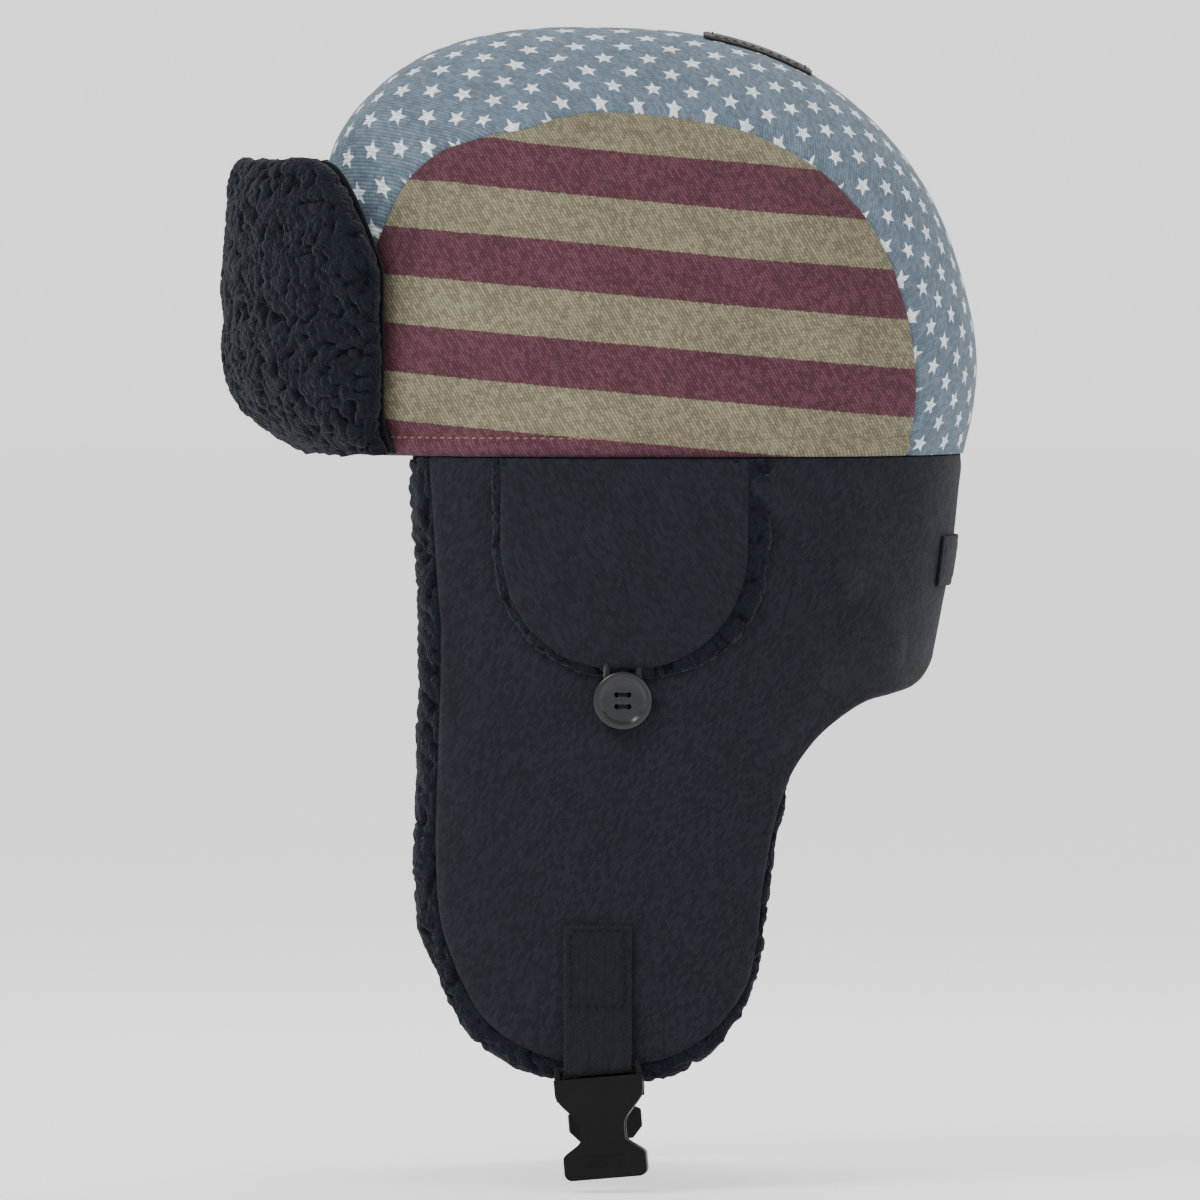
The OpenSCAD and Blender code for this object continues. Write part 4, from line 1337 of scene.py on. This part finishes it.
def make_buttons(h):
    paint = solid_paint("Polished button", bpy.context.scene.hat_colours.button, "plastic",
                        roughness=0.16, specular=0.3, coat=0.25)
    thread = dark_thread()
    r, t, dish, off = h.button_diameter / 2, 3.5, 0.9, 2.0
    turn = np.radians(np.linspace(90, -90, 13))
    rolled = [(r - 1 + math.cos(a), t / 2 - (t / 2 - 1) * np.sign(math.sin(a)) - math.sin(a))
              for a in turn]
    bowl = [(r - 2.0 - 1.1 * smooth(q), t - dish * smooth(q)) for q in np.linspace(0, 1, 9)]
    profile = [(0, 0), (0.5, 0)] + rolled + bowl + [(3.9, t - dish - 0.05), (0.5, t - dish - 0.1),
                                                    (0, t - dish - 0.1)]
    for name, side in SIDES:
        holes = [cylinder(0.9, -1, t + 1, sy * off, sz * off) for sy in (-1, 1) for sz in (-1, 1)]
        button = from_bmesh(f"{name}_sewn_button", lathe(profile), lambda p: button_place(h, p), side,
                            paint, holes, 0.14, 2)
        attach(button, f"{name}_flap")
        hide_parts(f"{name}_button")
        shank = [(x, 0, 0) for x in np.linspace(-h.cord_diameter - 0.6, -0.3, 9)]
        wound = 2.4 + 0.35 * np.sin(np.linspace(0, 3 * np.pi, 9))
        parts = [tube(button_place(h, shank), wound, 20)]
        for z in (-off, off):
            for k in (-0.35, 0.35):
                a = np.linspace(0, np.pi, 25)
                arch = stack(t - dish - 2.6 + 3.1 * np.sin(a), off * np.cos(a), z + k)
                parts.append(tube(button_place(h, arch), 0.34, 8))
        stitch = piece(f"{name}_button_stitch", parts, side, thread)
        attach(stitch, f"{name}_flap")
        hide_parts(f"{name}_button_thread")


# ---- Straps and buckle ----
def make_straps(h):
    paint = solid_paint("Chin webbing", bpy.context.scene.hat_colours.webbing, "webbing",
                        roughness=0.9, sheen=0.04, specular=0.15)
    thread = dark_thread()
    t, top = h.webbing, -158.0
    across = np.linspace(-0.5, 0.5, 25) * h.webbing_width
    around = 1.5 + t / 2
    columns = []
    for w in across:
        y = h.strap_y + w
        centre = h.on_bar([(0, w, 0)])[0]
        z = np.linspace(top, h.strap_z, 20)
        over = stack(h.flap_x(y, z, -h.LAYER - 1.5 * t), y, z)
        under = stack(h.flap_x(y, z, -h.LAYER - 0.5 * t), y, z)
        a = np.radians(np.linspace(0, -180, 21))
        out = np.array([math.cos(h.lean), 0, math.sin(h.lean)])
        up = np.array([-math.sin(h.lean), 0, math.cos(h.lean)])
        ring = centre + around * (np.cos(a)[:, None] * out + np.sin(a)[:, None] * up)
        step = np.linspace(0, 1, 16)[1:-1, None]
        down = mix(over[-1], ring[0], smooth(step) * 0.35 + 0.65 * step)
        back = mix(ring[-1], under[-1], step)
        columns.append(np.vstack([over, down, ring, back, under[::-1]]))
    middle = np.stack(columns, 1)
    along = np.gradient(middle, axis=0)
    side_way = np.gradient(middle, axis=1)
    n = np.cross(along, side_way)
    n /= np.linalg.norm(n, axis=-1)[..., None]
    if n[0, 0, 0] < 0:
        n = -n
    edge = np.abs(across) / (h.webbing_width / 2)
    thin = (t / 2 - 0.03) * (1 - 0.45 * power(edge, 14))[None, :, None]
    run = travel(middle[:, len(across) // 2])[:, None]
    part = cloth_part(middle + n * thin, middle - n * thin, across[None, :], run)
    sewn = np.array([(-9.2, -159.8), (9.2, -159.8), (9.2, -185.2), (-9.2, -185.2), (-9.2, -159.8)])
    path = evenly(sewn, 360)
    line, facing = face_line(lambda y, z, d: h.ear(y, z, d), h.strap_y + path[:, 0], path[:, 1],
                             -h.LAYER - 2 * t)
    for name, side in SIDES:
        strap = piece(f"{name}_chin_strap", [part], side, paint)
        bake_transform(strap)
        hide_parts(f"{name}_strap_sewn", f"{name}_strap_loop")
        stitch = piece(f"{name}_strap_stitch", stitches(line, facing, 2.0, 0.9, 0.28), side, thread)
        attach(stitch, f"{name}_flap")


SHOULDER = 15.0  # half the width of the buckle's body below its bar


def socket_half(z, waist=7.6, foot=14.0):
    """Half the width of the socket's body at a height below its bar."""
    upper = mix(SHOULDER, waist, smooth((-8 - z) / 12))
    lower = mix(waist, foot, smooth((-24 - z) / 6))
    return np.where(z > -24, upper, lower)


def prism(outline, t):
    """An upright plate from an outline of (y, z) points, its thickness along x."""
    bm = bmesh.new()
    ends = [[bm.verts.new((x, y, z)) for y, z in outline] for x in (-t / 2, t / 2)]
    n = len(outline)
    for i in range(n):
        j = (i + 1) % n
        bm.faces.new((ends[0][i], ends[0][j], ends[1][j], ends[1][i]))
    bm.faces.new(ends[0][::-1])
    bm.faces.new(ends[1])
    bmesh.ops.recalc_face_normals(bm, faces=bm.faces)
    return bm


def block(x0, x1, y0, y1, z0, z1):
    bm = prism([(y0, z0), (y1, z0), (y1, z1), (y0, z1)], x1 - x0)
    bmesh.ops.translate(bm, verts=bm.verts, vec=((x0 + x1) / 2, 0, 0))
    return bm


def frame_parts(h):
    """The D-shaped frame that holds the bar: two arms that rise beside the webbing, and the bar."""
    slot, arm = 12.2, 1.4
    line = curve([(0, slot + arm - 0.2, -10.5), (0, slot + arm + 0.1, -6), (0, slot + arm, -2),
                  (0, slot + arm - 0.4, 1.2)], 26)
    width = mix(1.75, 1.35, np.linspace(0, 1, 26))
    arms = [tube(h.on_bar(line * (1, k, 1)), width, 14, 0.8) for k in (1, -1)]
    bar = tube(h.on_bar([(0, y, 0) for y in np.linspace(-slot - 0.4, slot + 0.4, 24)]), 1.2, 16)
    return [*arms, bar]


def body_outline(low, corner=2.6, waisted=True):
    """The outline of a buckle half, from its shoulder round its rounded foot."""
    z = np.linspace(-3.2, low + corner, 44)
    right = [(float(socket_half(q)) if waisted else SHOULDER, float(q)) for q in z]
    wide = right[-1][0]
    a = np.radians(np.linspace(0, 90, 9)[1:])
    right += [(wide - corner + corner * math.cos(q), low + corner - corner * math.sin(q)) for q in a]
    return [(y, z) for y, z in right] + [(-y, z) for y, z in reversed(right)]


def make_buckle(h):
    paint = solid_paint("Moulded plastic", bpy.context.scene.hat_colours.plastic, "plastic",
                        roughness=0.42, specular=0.11)

    def join(target, parts, side):
        """Adds tubes to a moulding, so the two are one piece."""
        extra = piece("frame_tubes", parts, side, paint)
        bm = bmesh.new()
        bm.from_mesh(target.data)
        bm.from_mesh(extra.data)
        bm.to_mesh(target.data)
        bm.free()
        target.data.shade_smooth()
        target.data.set_sharp_from_angle(angle=SHARP)
        bpy.data.meshes.remove(extra.data)

    cavity = block(-2.2, 2.2, -11, 11, -38.5, -17)
    window = block(-2.6, 2.6, -12.8, -6.0, -28.5, -20.5)
    grooves = [block(3.3, 4.5, -6.5, 6.5, z - 0.35, z + 0.35) for z in (-33.2, -31.6, -30.0)]
    socket = from_bmesh("buckle_socket_half", prism(body_outline(-37.5), 7.2), h.on_bar, 1, paint,
                        [cavity, window, *grooves], 0.75)
    join(socket, frame_parts(h), 1)
    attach(socket, "left_buckle")
    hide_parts("buckle_socket")
    plug = from_bmesh("buckle_plug_half", prism(body_outline(-15.0, 1.8, False), 7.2), h.on_bar, -1,
                      paint, [], 0.9)
    tongue = [tube(h.on_bar([(0, 0, z) for z in np.linspace(-14.5, -33, 16)]),
                   mix(2.1, 1.5, smooth(np.linspace(-1.5, 1, 16))), 12, 0.7)]
    join(plug, frame_parts(h) + tongue, -1)
    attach(plug, "right_buckle")
    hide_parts("buckle_plug")
    base, low = -15.4, -36.4
    for name, k in (("front", -1), ("rear", 1)):
        inner, outer = k * 6.8, k * 9.2
        tip = outer + k * 3.6
        outline = [(inner, base), (outer, base), (outer, low + 12), (tip, low + 10), (tip, low + 4),
                   (outer, low), (inner, low)]
        prong = from_bmesh(f"prong_{name}_arm", prism(outline, 3.4), h.on_bar, -1, paint,
                           [], 0.45)
        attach(prong, f"prong_{name}")
        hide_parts(f"plug_prong_{name}")


# ---- Stage ----
def make_stage(h):
    """A round bowl of pale paper, far wider than the hat, with three lamps and the camera."""
    low = CAD_BOX[0][2] - 0.004
    bowl = curve([(0.02, low), (12, low), (24, low),
                  (29, low + 1.5), (32, low + 7), (33, low + 15)], 90)
    bm = bmesh.new()
    turn = np.linspace(0, 2 * np.pi, 96, endpoint=False)
    rows = [[bm.verts.new((r * math.cos(q), r * math.sin(q), z)) for q in turn] for r, z in bowl]
    bm.faces.new(rows[0])
    for low_row, high_row in zip(rows[:-1], rows[1:]):
        for i in range(len(turn)):
            j = (i + 1) % len(turn)
            bm.faces.new((low_row[i], high_row[i], high_row[j], low_row[j]))
    mesh = bpy.data.meshes.new("studio_floor")
    bm.to_mesh(mesh)
    bm.free()
    mesh.shade_smooth()
    floor = bpy.data.objects.new("studio_floor", mesh)
    bpy.context.scene.collection.objects.link(floor)

    def paper(w):
        tone = w.noise(w.spot(), 3.0, 2.0)
        return w.mix(tone, (0.82, 0.82, 0.82), (0.86, 0.86, 0.86)), tone, 0.0001, None
    mesh.materials.append(material("Studio paper", paper, 0.9))
    shader = mesh.materials[0].node_tree.nodes["Principled BSDF"]
    shader.inputs["Emission Color"].default_value = (1, 1, 1, 1)
    shader.inputs["Emission Strength"].default_value = 0.56
    world = bpy.data.worlds.new("Studio")
    world.use_nodes = True
    world.node_tree.nodes["Background"].inputs[0].default_value = (1.0, 1.0, 1.0, 1)
    world.node_tree.nodes["Background"].inputs[1].default_value = 0.95
    bpy.context.scene.world = world

    def lamp(name, spot, size, watts):
        light = bpy.data.lights.new(name, "AREA")
        light.energy, light.size = watts, size
        obj = bpy.data.objects.new(name, light)
        bpy.context.scene.collection.objects.link(obj)
        obj.location = spot
        obj.rotation_euler = (Vector((0, 0, -0.05)) - obj.location).to_track_quat("-Z", "Y").to_euler()
    lamp("key_light", (0.9, -0.9, 1.15), 0.9, 20)
    lamp("fill_light", (1.3, 0.9, 0.35), 1.0, 3.5)
    lamp("rim_light", (-0.8, 0.3, 1.0), 0.8, 10)
    camera = bpy.data.cameras.new("camera")
    camera.lens, camera.sensor_width = 525, 36
    camera.clip_end = 150
    obj = bpy.data.objects.new("camera", camera)
    bpy.context.scene.collection.objects.link(obj)
    target, distance, raised = Vector((0, -0.0177, -0.0505)), 6.0, math.radians(1.6)
    obj.location = target + distance * Vector((math.cos(raised), 0, math.sin(raised)))
    obj.rotation_euler = (target - obj.location).to_track_quat("-Z", "Y").to_euler()
    bpy.context.scene.camera = obj


# ---- Operators and panel ----
class HatOperator:
    bl_options = {"REGISTER", "UNDO"}

    def execute(self, context):
        type(self).make(Shape(context.scene.hat_sizes))
        return {"FINISHED"}


class HAT_OT_crown_cloth(HatOperator, bpy.types.Operator):
    """Builds the starred and striped panels of the crown"""
    bl_idname, bl_label, make = "hat.crown_cloth", "Crown cloth", make_crown_cloth


class HAT_OT_crown_inside(HatOperator, bpy.types.Operator):
    """Builds the batting, quilted lining, sweatband and blank label"""
    bl_idname, bl_label, make = "hat.crown_inside", "Crown inside", make_crown_inside


class HAT_OT_patch(HatOperator, bpy.types.Operator):
    """Builds the leather patch"""
    bl_idname, bl_label, make = "hat.patch", "Patch", make_patch


class HAT_OT_flap_cloth(HatOperator, bpy.types.Operator):
    """Builds the cloth of the ear and neck flaps"""
    bl_idname, bl_label, make = "hat.flap_cloth", "Flap cloth", make_flap_cloth


class HAT_OT_flap_sherpa(HatOperator, bpy.types.Operator):
    """Builds the sherpa of the ear and neck flaps"""
    bl_idname, bl_label, make = "hat.flap_sherpa", "Flap sherpa", make_flap_sherpa


class HAT_OT_visor(HatOperator, bpy.types.Operator):
    """Builds the turned-up visor"""
    bl_idname, bl_label, make = "hat.visor", "Visor", make_visor


class HAT_OT_ear_tabs(HatOperator, bpy.types.Operator):
    """Builds the two ear tabs"""
    bl_idname, bl_label, make = "hat.ear_tabs", "Ear tabs", make_ear_tabs


class HAT_OT_loops(HatOperator, bpy.types.Operator):
    """Builds the elastic loops of the ear tabs"""
    bl_idname, bl_label, make = "hat.loops", "Elastic loops", make_loops


class HAT_OT_buttons(HatOperator, bpy.types.Operator):
    """Builds the buttons and the thread that holds them"""
    bl_idname, bl_label, make = "hat.buttons", "Buttons", make_buttons


class HAT_OT_straps(HatOperator, bpy.types.Operator):
    """Builds the chin straps"""
    bl_idname, bl_label, make = "hat.straps", "Chin straps", make_straps


class HAT_OT_buckle(HatOperator, bpy.types.Operator):
    """Builds both halves of the chin buckle"""
    bl_idname, bl_label, make = "hat.buckle", "Buckle", make_buckle


class HAT_OT_stage(HatOperator, bpy.types.Operator):
    """Sets up the floor, the lights and the camera"""
    bl_idname, bl_label, make = "hat.stage", "Stage", make_stage


OPERATORS = (
    HAT_OT_crown_cloth, HAT_OT_crown_inside, HAT_OT_patch, HAT_OT_flap_cloth, HAT_OT_flap_sherpa,
    HAT_OT_visor, HAT_OT_ear_tabs, HAT_OT_loops, HAT_OT_buttons, HAT_OT_straps, HAT_OT_buckle,
    HAT_OT_stage,
)


class HAT_PT_panel(bpy.types.Panel):
    """Lists the hat's sizes, colours and pieces"""
    bl_idname, bl_label = "HAT_PT_panel", "Trapper hat"
    bl_space_type, bl_region_type, bl_category = "VIEW_3D", "UI", "Hat"

    def draw(self, context):
        for group in (context.scene.hat_sizes, context.scene.hat_colours):
            for name in group.__annotations__:
                self.layout.prop(group, name)
        for operator in OPERATORS:
            self.layout.operator(operator.bl_idname)


CLASSES = (HatSizes, HatColours, *OPERATORS, HAT_PT_panel)


def register():
    for cls in CLASSES:
        bpy.utils.register_class(cls)
    bpy.types.Scene.hat_sizes = PointerProperty(type=HatSizes)
    bpy.types.Scene.hat_colours = PointerProperty(type=HatColours)


def unregister():
    del bpy.types.Scene.hat_colours
    del bpy.types.Scene.hat_sizes
    for cls in reversed(CLASSES):
        bpy.utils.unregister_class(cls)


def main():
    register()
    for operator in OPERATORS:
        group, name = operator.bl_idname.split(".")
        getattr(getattr(bpy.ops, group), name)()
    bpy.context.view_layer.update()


if __name__ == "__main__":
    main()
